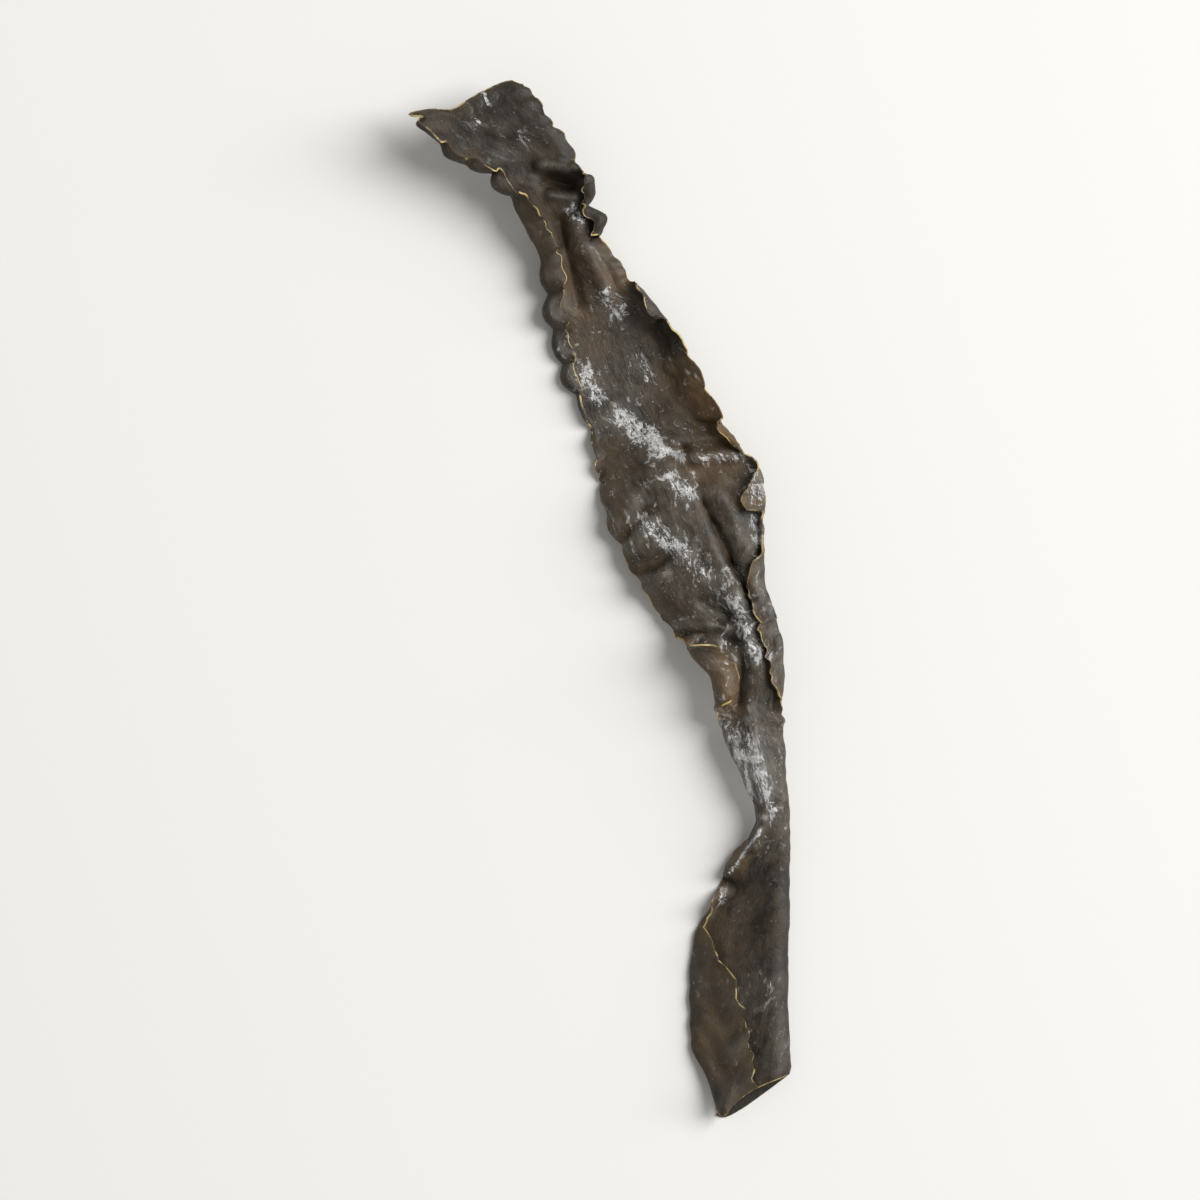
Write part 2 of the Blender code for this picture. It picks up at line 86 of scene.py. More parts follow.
# The outline seen from above: distance down the strip, then the left and the right point.
OUTLINE = (
    (0.0000, -0.0633, 0.1601, -0.0255, 0.1701),
    (0.0026, -0.0594, 0.1579, -0.0236, 0.1676),
    (0.0042, -0.0603, 0.1562, -0.0224, 0.1660),
    (0.0062, -0.0572, 0.1544, -0.0210, 0.1641),
    (0.0090, -0.0541, 0.1500, -0.0190, 0.1614),
    (0.0145, -0.0465, 0.1433, -0.0150, 0.1560),
    (0.0200, -0.0390, 0.1412, -0.0113, 0.1506),
    (0.0270, -0.0326, 0.1348, -0.0067, 0.1422),
    (0.0320, -0.0284, 0.1290, -0.0028, 0.1380),
    (0.0360, -0.0255, 0.1240, -0.0026, 0.1340),
    (0.0400, -0.0237, 0.1204, -0.0044, 0.1300),
    (0.0440, -0.0219, 0.1168, 0.0008, 0.1260),
    (0.0490, -0.0201, 0.1120, -0.0004, 0.1213),
    (0.0585, -0.0184, 0.1019, 0.0058, 0.1118),
    (0.0680, -0.0167, 0.0919, 0.0122, 0.1030),
    (0.080, -0.0139, 0.0796, 0.0233, 0.0907),
    (0.092, -0.0089, 0.0674, 0.0300, 0.0796),
    (0.104, -0.0033, 0.0552, 0.0361, 0.0674),
    (0.118, -0.0011, 0.0408, 0.0430, 0.0535),
    (0.125, 0.0004, 0.0336, 0.0494, 0.0466),
    (0.133, 0.0022, 0.0253, 0.0527, 0.0391),
    (0.147, 0.0100, 0.0108, 0.0533, 0.0264),
    (0.163, 0.0189, -0.0036, 0.0533, 0.0086),
    (0.176, 0.0283, -0.0158, 0.0577, -0.0069),
    (0.188, 0.0361, -0.0258, 0.0594, -0.0203),
    (0.201, 0.0377, -0.0369, 0.0594, -0.0358),
    (0.225, 0.0472, -0.0597, 0.0605, -0.0597),
    (0.238, 0.0511, -0.0724, 0.0616, -0.0724),
    (0.253, 0.0411, -0.0880, 0.0616, -0.0880),
    (0.264, 0.0372, -0.0991, 0.0616, -0.0991),
    (0.273, 0.0324, -0.1075, 0.0613, -0.1075),
    (0.277, 0.0308, -0.1120, 0.0611, -0.1112),
    (0.290, 0.0294, -0.1257, 0.0611, -0.1246),
    (0.317, 0.0300, -0.1485, 0.0622, -0.1551),
)

# Heights of the base's two ends and of the crown between them, at distances down the strip.
LEFT_HEIGHT = (
    (0.000, 0.0230), (0.016, 0.0190), (0.030, 0.0150), (0.045, 0.0102), (0.060, 0.0055),
    (0.078, 0.0014), (0.088, 0.0002), (0.102, 0.0008), (0.118, 0.0045), (0.133, 0.0090),
    (0.147, 0.0112), (0.176, 0.0115), (0.201, 0.0125), (0.225, 0.0122), (0.238, 0.0098),
    (0.250, 0.0052), (0.264, 0.0012), (0.276, 0.0004), (0.317, 0.0004),
)
RIGHT_HEIGHT = (
    (0.000, 0.0205), (0.016, 0.0180), (0.030, 0.0145), (0.045, 0.0098), (0.060, 0.0062),
    (0.078, 0.0030), (0.088, 0.0020), (0.102, 0.0030), (0.118, 0.0085), (0.133, 0.0130),
    (0.163, 0.0135), (0.201, 0.0138), (0.225, 0.0130), (0.238, 0.0116), (0.250, 0.0100),
    (0.264, 0.0086), (0.290, 0.0084), (0.317, 0.0090),
)
CROWN = (
    (0.000, -0.0010), (0.030, 0.0000), (0.050, 0.0010), (0.070, -0.0010), (0.092, -0.0020),
    (0.106, -0.0015), (0.122, 0.0025), (0.150, 0.0020), (0.176, 0.0010), (0.200, 0.0008),
    (0.225, 0.0012), (0.240, 0.0012), (0.264, 0.0010), (0.317, 0.0012),
)

# How far each margin turns, in degrees: up and over the base, or down and under it.
LEFT_TURN = (
    (0.000, 50), (0.006, 105), (0.010, 145), (0.030, 150), (0.038, 170), (0.056, 172),
    (0.066, 168), (0.078, 168), (0.088, 172), (0.092, 120), (0.098, 85), (0.104, 60),
    (0.112, 40), (0.120, -36), (0.160, -38), (0.171, 0), (0.178, 170), (0.184, 215),
    (0.192, 220), (0.198, 140), (0.203, 20), (0.208, -120), (0.213, -172), (0.238, -174),
    (0.246, -140), (0.253, -70), (0.260, 20), (0.267, 130), (0.275, 172), (0.317, 181),
)
RIGHT_TURN = (
    (0.000, -20), (0.021, -30), (0.0275, 50), (0.032, 165), (0.036, 190), (0.0395, 120),
    (0.0425, 190), (0.046, 205), (0.0505, 70), (0.055, -25), (0.064, 0), (0.0665, 65),
    (0.0695, 135), (0.074, 160), (0.078, 66), (0.083, 36), (0.094, 20), (0.108, 22),
    (0.1155, 150), (0.1185, 155), (0.1235, 75), (0.1265, 80), (0.132, 165), (0.1395, 178),
    (0.143, 112), (0.154, 105), (0.160, 160), (0.190, 172), (0.196, 120),
    (0.201, 0), (0.206, -120), (0.211, -174), (0.317, -178),
)
LEFT_RADIUS = (
    (0.000, 0.0015), (0.016, 0.0017), (0.036, 0.0014), (0.058, 0.0015), (0.078, 0.0015),
    (0.086, 0.0020), (0.104, 0.0024), (0.120, 0.0040), (0.165, 0.0040), (0.177, 0.0028),
    (0.195, 0.0032), (0.205, 0.0016), (0.264, 0.0015), (0.317, 0.0016),
)
RIGHT_RADIUS = (
    (0.000, 0.0040), (0.026, 0.0030), (0.033, 0.0021), (0.047, 0.0023), (0.056, 0.0040),
    (0.069, 0.0036), (0.076, 0.0036), (0.084, 0.0068), (0.109, 0.0056), (0.1165, 0.0019),
    (0.128, 0.0022), (0.136, 0.0022), (0.145, 0.0018), (0.160, 0.0013), (0.190, 0.0012),
    (0.206, 0.0022), (0.225, 0.0026), (0.238, 0.0030), (0.255, 0.0038),
    (0.264, 0.0041), (0.290, 0.0041), (0.317, 0.0044),
)
LEFT_LENGTH = (
    (0.000, 0.0030), (0.008, 0.0058), (0.016, 0.0074), (0.030, 0.0084), (0.042, 0.0105),
    (0.058, 0.0105), (0.068, 0.0082), (0.086, 0.0082), (0.095, 0.0062), (0.104, 0.0044),
    (0.116, 0.0044), (0.160, 0.0050), (0.170, 0.0080), (0.180, 0.0165), (0.192, 0.0165),
    (0.203, 0.0055), (0.213, 0.0080), (0.230, 0.0064), (0.243, 0.0050), (0.250, 0.0056),
    (0.258, 0.0062), (0.272, 0.0068), (0.276, 0.0084), (0.281, 0.0140), (0.288, 0.0205),
    (0.302, 0.0262), (0.317, 0.0300),
)
RIGHT_LENGTH = (
    (0.000, 0.0040), (0.025, 0.0040), (0.032, 0.0085), (0.047, 0.0095), (0.055, 0.0040),
    (0.063, 0.0040), (0.070, 0.0082), (0.080, 0.0125), (0.108, 0.0135), (0.1165, 0.0068),
    (0.1225, 0.0050), (0.126, 0.0056), (0.133, 0.0100), (0.1400, 0.0125), (0.1435, 0.0056),
    (0.154, 0.0052), (0.165, 0.0095), (0.180, 0.0090), (0.194, 0.0060), (0.201, 0.0042),
    (0.210, 0.0080), (0.225, 0.0092), (0.243, 0.0098),
    (0.256, 0.0130), (0.270, 0.0240), (0.300, 0.0300), (0.317, 0.0312),
)

# Where the ruffles of each margin stand out, down the strip, and how strong they are. Each has
# a round top and a pinch beside it, is as strong as its number makes it, and swings the margin's
# turn, length, radius and place. A ruffle also gathers the base a little, and the edge is ragged.
# The numbers of UNEVEN are a ruffle's usual strength, its swing and how that goes from one to
# the next.
LEFT_CRESTS = (
    -0.006, 0.002, 0.0090, 0.0145, 0.0216, 0.0290, 0.0400, 0.0540, 0.0650, 0.0765, 0.0860,
    0.0975, 0.1085, 0.1160, 0.1235, 0.1340, 0.1450, 0.1570, 0.1690, 0.1800, 0.1920,
    0.2030, 0.2150, 0.2270, 0.2390, 0.2500, 0.2620, 0.2740, 0.2860, 0.2960, 0.3060, 0.3180,
)
RIGHT_CRESTS = (
    -0.004, 0.0080, 0.0200, 0.0350, 0.0440, 0.0560, 0.0720, 0.0860, 0.0960, 0.1070, 0.1180,
    0.1280, 0.1400, 0.1520, 0.1620, 0.1720, 0.1820, 0.1930, 0.2040, 0.2160, 0.2280, 0.2400,
    0.2540, 0.2700, 0.2860, 0.3020, 0.3200,
)
LEFT_RUFFLE = (
    (0.000, -0.4), (0.008, -1.0), (0.028, -1.1), (0.035, 0.0), (0.046, 0.2), (0.054, 1.1),
    (0.066, 1.3), (0.076, 0.6), (0.086, 1.1), (0.099, 0.8), (0.110, 0.4), (0.125, 0.5),
    (0.160, 0.3), (0.176, 0.2), (0.236, 0.1), (0.260, 0.1), (0.317, 0.1),
)
RIGHT_RUFFLE = (
    (0.000, 0.4), (0.028, 0.3), (0.035, 0.5), (0.046, 0.5), (0.056, 0.3), (0.072, 0.6),
    (0.082, 0.25), (0.106, 0.25), (0.118, 0.5), (0.140, 0.35), (0.165, 0.25), (0.190, 0.3),
    (0.206, 0.1), (0.317, 0.0),
)
RUFFLE_TURN = 34.0
RUFFLE_LENGTH = 0.0014
RUFFLE_RADIUS = 0.22
SCALLOP = 0.0015
LEAN = 0.0019
GATHER = 0.0006
GATHER_RUN = 0.0070
PINCH = 0.2
PINCH_MEAN = 1.27
UNEVEN = (0.8, 0.35, 2.3, 0.4)
FRAY = 0.00035
RAGGED = ((0.0061, 0.3), (0.0043, 1.9), (0.0029, 4.0))

# A margin turned up this far, in degrees, lies over the base, and one turned down, under it.
LAID_OVER = (60, 130)
LAID_UNDER = (90, 170)
BASE_SHARE = 0.8
FOLD_SHARE = 0.4

# Creases and swells of the base: two ends of a line seen from above, half width and height.
FORMS = (
    (-0.0170, 0.1387, -0.0112, 0.1372, 0.0030, -0.0068),
    (-0.0200, 0.1430, -0.0100, 0.1418, 0.0019, 0.0026),
    (-0.0165, 0.1335, -0.0095, 0.1330, 0.0018, 0.0016),
    (-0.0330, 0.1560, -0.0200, 0.1630, 0.0050, 0.0014),
    (-0.0300, 0.1490, -0.0200, 0.1500, 0.0040, -0.0012),
    (-0.0140, 0.1250, -0.0080, 0.0985, 0.0024, -0.0030),
    (-0.0080, 0.1240, 0.0020, 0.1010, 0.0034, 0.0026),
    (0.0000, 0.1120, 0.0060, 0.1000, 0.0016, -0.0010),
    (0.0110, 0.0930, 0.0190, 0.0840, 0.0040, -0.0016),
    (0.0216, 0.0447, 0.0311, 0.0475, 0.0022, 0.0024),
    (0.0311, 0.0475, 0.0462, 0.0480, 0.0022, 0.0034),
    (0.0220, 0.0490, 0.0272, 0.0503, 0.0015, -0.0016),
    (0.0272, 0.0503, 0.0420, 0.0515, 0.0017, -0.0024),
    (0.0330, 0.0395, 0.0440, 0.0385, 0.0034, -0.0016),
    (0.0335, 0.0325, 0.0430, 0.0130, 0.0016, -0.0025),
    (0.0430, 0.0130, 0.0494, 0.0003, 0.0015, -0.0022),
    (0.0383, 0.0364, 0.0480, 0.0160, 0.0042, 0.0022),
    (0.0067, 0.0200, 0.0141, 0.0293, 0.0016, -0.0020),
    (0.0035, 0.0250, 0.0100, 0.0330, 0.0030, 0.0012),
    (0.0100, 0.0180, 0.0165, 0.0260, 0.0028, 0.0014),
    (0.0132, 0.0047, 0.0194, 0.0082, 0.0020, 0.0028),
    (0.0194, 0.0082, 0.0273, 0.0143, 0.0024, 0.0026),
    (0.0140, 0.0125, 0.0205, 0.0140, 0.0040, -0.0034),
    (0.0190, -0.0010, 0.0265, -0.0120, 0.0046, -0.0032),
    (0.0350, -0.0010, 0.0405, -0.0050, 0.0036, -0.0024),
    (0.0070, 0.0340, 0.0160, 0.0420, 0.0060, 0.0014),
    (0.0440, 0.0020, 0.0500, -0.0200, 0.0030, 0.0020),
    (0.0265, -0.0075, 0.0400, -0.0085, 0.0022, 0.0026),
    (0.0410, -0.0135, 0.0450, -0.0140, 0.0020, -0.0024),
    (0.0465, -0.0190, 0.0450, -0.0330, 0.0020, -0.0026),
    (0.0480, -0.0360, 0.0545, -0.0640, 0.0028, 0.0014),
    (0.0530, -0.0715, 0.0500, -0.0810, 0.0015, 0.0026),
    (0.0500, -0.0810, 0.0416, -0.0896, 0.0015, 0.0026),
    (0.0416, -0.0896, 0.0350, -0.1040, 0.0018, 0.0014),
    (0.0500, -0.0880, 0.0480, -0.1100, 0.0050, -0.0012),
    (0.0440, -0.1440, 0.0437, -0.1680, 0.0018, 0.0016),
    (0.0370, -0.1250, 0.0380, -0.1480, 0.0040, -0.0008),
)

# How far the ends reach past the outline's end lines, at shares of the way from left to right.
HEAD_REACH = ((0.00, 0.0), (0.18, -0.0006), (0.35, -0.0024), (0.52, -0.0006), (0.65, 0.0008),
              (0.87, 0.0019), (1.00, 0.0))
HEAD_RUN = 0.014
TAIL_REACH_TOP = ((0.00, 0.0), (0.20, 0.0078), (0.43, 0.0190), (0.50, 0.0150), (0.66, 0.0088),
                  (0.76, 0.0062), (0.89, 0.0032), (1.00, 0.0004))
TAIL_REACH_UNDER = ((0.00, 0.0140), (0.43, 0.0196), (0.60, 0.0158), (0.75, 0.0106),
                    (0.89, 0.0055), (1.00, 0.0012))
TAIL_RUN = 0.042

# Rows of the mesh stand closer where the margins turn quickly. They are placed by this many
# fine steps.
FINE_STEPS = 2000
ROW_DENSITY = ((0.000, 1.5), (0.060, 1.5), (0.070, 1.2), (0.120, 1.2), (0.135, 0.9),
               (0.165, 1.0), (0.172, 1.7), (0.212, 1.7), (0.220, 0.9), (0.236, 1.0),
               (0.244, 1.6), (0.264, 1.5), (0.275, 0.7), (0.300, 0.7), (0.317, 0.9))


def through(keys, where):
    """Smooth curve through (place, value) keys, with no swing past a key's value."""
    place, value = (np.array(column, dtype=float) for column in zip(*keys))
    step = np.diff(place)
    rise = np.diff(value) / step
    slope = np.zeros_like(value)
    same = rise[:-1] * rise[1:] > 0
    weight = step[1:] + 2 * step[:-1], 2 * step[1:] + step[:-1]
    safe_left = np.where(same, rise[:-1], 1.0)
    safe_right = np.where(same, rise[1:], 1.0)
    inner = (weight[0] + weight[1]) / (weight[1] / safe_left + weight[0] / safe_right)
    slope[1:-1] = np.where(same, inner, 0.0)
    slope[0], slope[-1] = rise[0], rise[-1]
    where = np.clip(where, place[0], place[-1])
    span = np.clip(np.searchsorted(place, where, side="right") - 1, 0, len(step) - 1)
    t = (where - place[span]) / step[span]
    return ((1 + 2 * t) * (1 - t) ** 2 * value[span]
            + t * (1 - t) ** 2 * step[span] * slope[span]
            + t * t * (3 - 2 * t) * value[span + 1]
            + t * t * (t - 1) * step[span] * slope[span + 1])


def smooth_step(low, high, value):
    t = np.clip((value - low) / (high - low), 0.0, 1.0)
    return t * t * (3 - 2 * t)


def wave(crests, where):
    """A wave with a round top at each crest and a pinch between two, and its sideways lean."""
    number = np.arange(len(crests))
    turns = np.interp(where, crests, number)
    usual, swing, turn, drift = UNEVEN
    strength = usual + swing * np.sin(turn * number + drift * number ** 2)
    uneven = np.interp(where, crests, strength)
    pinched = 2 * np.abs(np.cos(math.pi * turns)) - PINCH_MEAN
    crest = PINCH * pinched + (1 - PINCH) * np.cos(2 * math.pi * turns)
    return uneven * crest, uneven * np.sin(2 * math.pi * turns)


def ragged(where):
    """Small unevenness of a free edge."""
    return sum(np.sin(2 * math.pi * where / length + turn) for length, turn in RAGGED) / 2


def gap_to_line(x, y, x1, y1, x2, y2):
    """Square of the distance from a place to a line between two points, seen from above."""
    run_x, run_y = x2 - x1, y2 - y1
    t = np.clip(((x - x1) * run_x + (y - y1) * run_y) / (run_x ** 2 + run_y ** 2), 0, 1)
    return (x - x1 - t * run_x) ** 2 + (y - y1 - t * run_y) ** 2


def forms(x, y):
    """Height that the creases and swells add at a place seen from above."""
    return sum(rise * np.exp(-gap_to_line(x, y, *line) / half_width ** 2)
               for *line, half_width, rise in FORMS)


def rest_on_floor(height):
    """Lift what would sink, with a truly flat patch where the sheet touches the floor."""
    over = height - FLOOR
    eased = np.where(over < FLOOR_EASE, over ** 2 / (2 * FLOOR_EASE), over - FLOOR_EASE / 2)
    return FLOOR + np.where(over > 0, eased, 0.0)


def margin_curve(turn, radius, length, start):
    """Way out and way up from the base's end, along each row's margin."""
    share = np.linspace(0, 1, MARGIN_STEPS + 1)
    middle = (share[:-1] + share[1:]) / 2
    bend = np.maximum(radius * np.abs(turn), LEAST_BEND)
    eased = np.clip(middle[None, :] * length[:, None] / bend[:, None], 0, 1)
    angle = start[:, None] + turn[:, None] * eased
    step = (length / MARGIN_STEPS)[:, None]
    zero = np.zeros((len(length), 1))
    out = np.concatenate([zero, np.cumsum(np.cos(angle) * step, axis=1)], axis=1)
    up = np.concatenate([zero, np.cumsum(np.sin(angle) * step, axis=1)], axis=1)
    return out, up


def pick(values, cells):
    """Values at the margin's mesh columns, which are fewer than the curve's steps."""
    share = np.linspace(0, 1, cells + 1)[1:]
    place = share * MARGIN_STEPS
    low = np.minimum(place.astype(int), MARGIN_STEPS - 1)
    part = place - low
    return values[:, low] * (1 - part) + values[:, low + 1] * part


def margin(side, along, start):
    """One margin's curve and ruffle wave at each row."""
    turns, radii, lengths, crests, ruffles = side
    crest, drift = wave(crests, along)
    ruffle = through(ruffles, along)
    turn = through(turns, along) + RUFFLE_TURN * ruffle * crest
    radius = through(radii, along) * (1 + RUFFLE_RADIUS * ruffle * crest)
    length = through(lengths, along) + RUFFLE_LENGTH * ruffle * crest + FRAY * ragged(along)
    out, up = margin_curve(np.radians(turn), radius, length, start)
    over = smooth_step(*LAID_OVER, turn)[:, None]
    under = smooth_step(*LAID_UNDER, -turn)[:, None]
    return {"out": out, "up": up, "reach": out.max(axis=1), "crest": crest * ruffle,
            "drift": drift * ruffle, "over": over, "under": under}


LEFT_SIDE = (LEFT_TURN, LEFT_RADIUS, LEFT_LENGTH, LEFT_CRESTS, LEFT_RUFFLE)
RIGHT_SIDE = (RIGHT_TURN, RIGHT_RADIUS, RIGHT_LENGTH, RIGHT_CRESTS, RIGHT_RUFFLE)


def row_places(rows):
    """Distances down the strip of the mesh's rows."""
    fine = np.linspace(OUTLINE[0][0], OUTLINE[-1][0], FINE_STEPS)
    density = through(ROW_DENSITY, fine)
    total = np.concatenate([[0.0], np.cumsum((density[1:] + density[:-1]) / 2)])
    return np.interp(np.linspace(0, total[-1], rows + 1), total, fine)


def sheet(rows, left_cells, base_cells, right_cells):
    """Middle surface of the strip: an array of points, rows down and columns across."""
    along = row_places(rows)
    ends = [through([(key[0], key[i]) for key in OUTLINE], along) for i in range(1, 5)]
    left = np.stack(ends[:2], axis=1)
    right = np.stack(ends[2:], axis=1)
    across = right - left
    width = np.linalg.norm(across, axis=1)
    across /= width[:, None]
    down = np.stack([across[:, 1], -across[:, 0]], axis=1)

    left_height = through(LEFT_HEIGHT, along)
    right_height = through(RIGHT_HEIGHT, along)
    crown = through(CROWN, along)
    climb = right_height - left_height
    left_slope = (climb + 4 * crown) / (BASE_SHARE * width)
    right_slope = (climb - 4 * crown) / (BASE_SHARE * width)
    left_margin = margin(LEFT_SIDE, along, -np.arctan(left_slope))
    right_margin = margin(RIGHT_SIDE, along, np.arctan(right_slope))
    left = left - across * (SCALLOP * left_margin["crest"])[:, None]
    width = width + SCALLOP * (left_margin["crest"] + right_margin["crest"])
    base_start = left_margin["reach"]
    base_end = width - right_margin["reach"]
    base_width = base_end - base_start

    share = np.linspace(0, 1, base_cells + 1)[None, :]
    base_x = base_start[:, None] + base_width[:, None] * share
    base_z = (left_height[:, None] + climb[:, None] * share
              + 4 * crown[:, None] * share * (1 - share))

    def hung(side, cells, inner, sign, height):
        """A margin's points, and how far its ruffles lift the base."""
        gather = GATHER * side["crest"] * (1 - side["under"][:, 0])
        gap = (base_x - inner[:, None]) / GATHER_RUN
        out = pick(side["out"], cells)
        inward = np.clip(-out / base_width[:, None], 0, 1)
        z = ((height + gather)[:, None] + pick(side["up"], cells)
             - side["over"] * 4 * crown[:, None] * inward ** 2)
        return inner[:, None] + sign * out, z, gather[:, None] * np.exp(-gap ** 2)

    left_x, left_z, left_lift = hung(left_margin, left_cells, base_start, -1, left_height)
    right_x, right_z, right_lift = hung(right_margin, right_cells, base_end, 1, right_height)
    base_z = base_z + left_lift + right_lift
    x = np.concatenate([left_x[:, ::-1], base_x, right_x], axis=1)
    z = np.concatenate([left_z[:, ::-1], base_z, right_z], axis=1)

    plan_x = left[:, 0:1] + across[:, 0:1] * x
    plan_y = left[:, 1:2] + across[:, 1:2] * x
    right_columns = slice(left_cells + base_cells + 1, None)
    to_right_edge = np.linspace(0, 1, right_cells + 1)[None, 1:]
    sides = ((left_margin, slice(0, left_cells), np.linspace(1, 0, left_cells + 1)[None, :-1]),
             (right_margin, right_columns, to_right_edge))
    swell = forms(plan_x, plan_y)
    lean = np.zeros_like(x)
    for side, columns, to_edge in sides:
        swell[:, columns] *= 1 - side["under"]
        lean[:, columns] = LEAN * side["drift"][:, None] * to_edge
    z = z + swell

    across_share = np.clip(x / width[:, None], 0, 1)
    head = through(HEAD_REACH, across_share) * smooth_step(HEAD_RUN, 0.0, along)[:, None]
    tail = through(TAIL_REACH_TOP, across_share)
    lower = through(TAIL_REACH_UNDER, across_share[:, right_columns])
    past_fold = right_margin["under"] * smooth_step(0.0, FOLD_SHARE, to_right_edge)
    tail[:, right_columns] += (lower - tail[:, right_columns]) * past_fold
    tail *= smooth_step(OUTLINE[-1][0] - TAIL_RUN, OUTLINE[-1][0], along)[:, None]
    shift = lean - head + tail
    plan_x = plan_x + down[:, 0:1] * shift
    plan_y = plan_y + down[:, 1:2] * shift
    return np.stack([plan_x, plan_y, rest_on_floor(z)], axis=2)


# Rows and columns of the finished skin, how thick its free edges are, how far in they thin, and
# the angle past which a corner of the mesh is shaded sharp.
SKIN_ROWS = 430
SKIN_LEFT_CELLS = 26
SKIN_BASE_CELLS = 56
SKIN_RIGHT_CELLS = 26
EDGE_THICKNESS = 0.00055
THIN_RUN = 0.006
SHARP_ANGLE = math.radians(50)

# The relief comes in over this height above the floor, where the sheet lies flat.
FLOOR_CALM = 0.0016

# A place is raised by its height over the places around it: how many rounds of smoothing reach
# these, and how far over them counts in full, for the fine relief and for the form.
FINE_ROUNDS = 10
FINE_RISE = 0.00024
BROAD_ROUNDS = 14
BROAD_RISE = 0.001

# How steeply a face may stand and still carry bloom, and where the roll's inside begins, which is
# painted dark as shade.
FACES_UP = (0.05, 0.35)
ROLL = (0.245, 0.262)

# Small frills and jags of the free edges: how long they are, how far they swing, how far in they
# reach, how that fades, and how strong the jags are, of which the roll has more.
FRILLS = ((0.0056, 0.00096), (0.0034, 0.00072), (0.0021, 0.000352))
FRILL_RUN = 0.0045
JAG_RUN = 0.0022
EDGE_FADE = 1.5
JAG_SHARE = 1.1
ROLL_JAG = 1.2

# How far apart the slices of the noise are for the strip's two sides, for the jags, and for
# frills that differ by a metre in length.
SIDE_LANES = 4.3
JAG_LANES = 20.0
LENGTH_LANES = 1000.0

# How dark the painted shade in the small curls of each margin is, down the strip.
LEFT_CURL_SHADE = ((0.000, 0.5), (0.030, 0.7), (0.112, 0.7), (0.122, 0.2), (0.176, 0.0))
RIGHT_CURL_SHADE = ((0.000, 0.5), (0.024, 0.6), (0.032, 0.8), (0.048, 0.8), (0.053, 0.0),
               (0.066, 0.0), (0.070, 0.8), (0.082, 0.7), (0.088, 0.0))

# How silvery the skin is along the strip, partly rubbed skin and partly a painted sheen; below 0
# it is darker and smoother. From the waist down the right side is painted darker as shade: by how
# much, and over which places across and along.
SILVER = ((0.000, -1.20), (0.035, -1.10), (0.070, 0.00), (0.110, 0.00), (0.150, 0.15),
          (0.176, 0.25), (0.192, 0.35), (0.215, 0.90), (0.230, 0.90), (0.243, 0.25),
          (0.256, -0.50), (0.317, -0.65))
RIGHT_SIDE_SHADE = 0.55
RIGHT_SHADE_ACROSS = (-0.001, 0.008)
RIGHT_SHADE_ALONG = (0.185, 0.205)

# How strong the relief is along the strip.
RELIEF = ((0.000, 0.45), (0.030, 0.55), (0.060, 1.00), (0.190, 1.00), (0.215, 0.50),
          (0.240, 0.60), (0.317, 0.50))

# Where the thin, dry sheet is warmer brown, and where its strongest patches turn amber, a painted
# glow of light shining through it: two ends of a line, half width and strength.
WARM_AND_GLOW_PATCHES = (
    (-0.0430, 0.1440, -0.0190, 0.1170, 0.0030, 0.7),
    (-0.0060, 0.1160, 0.0040, 0.1040, 0.0050, 0.7),
    (-0.0100, 0.1080, -0.0040, 0.0850, 0.0050, 0.6),
    (0.0270, 0.0740, 0.0410, 0.0530, 0.0055, 1.3),
    (0.0020, 0.0420, 0.0060, 0.0200, 0.0050, 0.6),
    (0.0250, 0.0450, 0.0420, 0.0440, 0.0060, 0.9),
    (0.0150, -0.0020, 0.0300, -0.0200, 0.0060, 0.6),
    (0.0290, -0.0180, 0.0370, -0.0260, 0.0030, 1.1),
    (0.0400, -0.0190, 0.0425, -0.0350, 0.0035, 1.2),
    (0.0420, -0.0790, 0.0450, -0.0850, 0.0030, 1.3),
    (0.0450, 0.0320, 0.0530, 0.0330, 0.0015, 1.4),
    (0.0320, -0.0980, 0.0400, -0.1500, 0.0060, 0.4),
)

# How much wider than its table says a patch is.
PATCH_SPREAD = 1.3

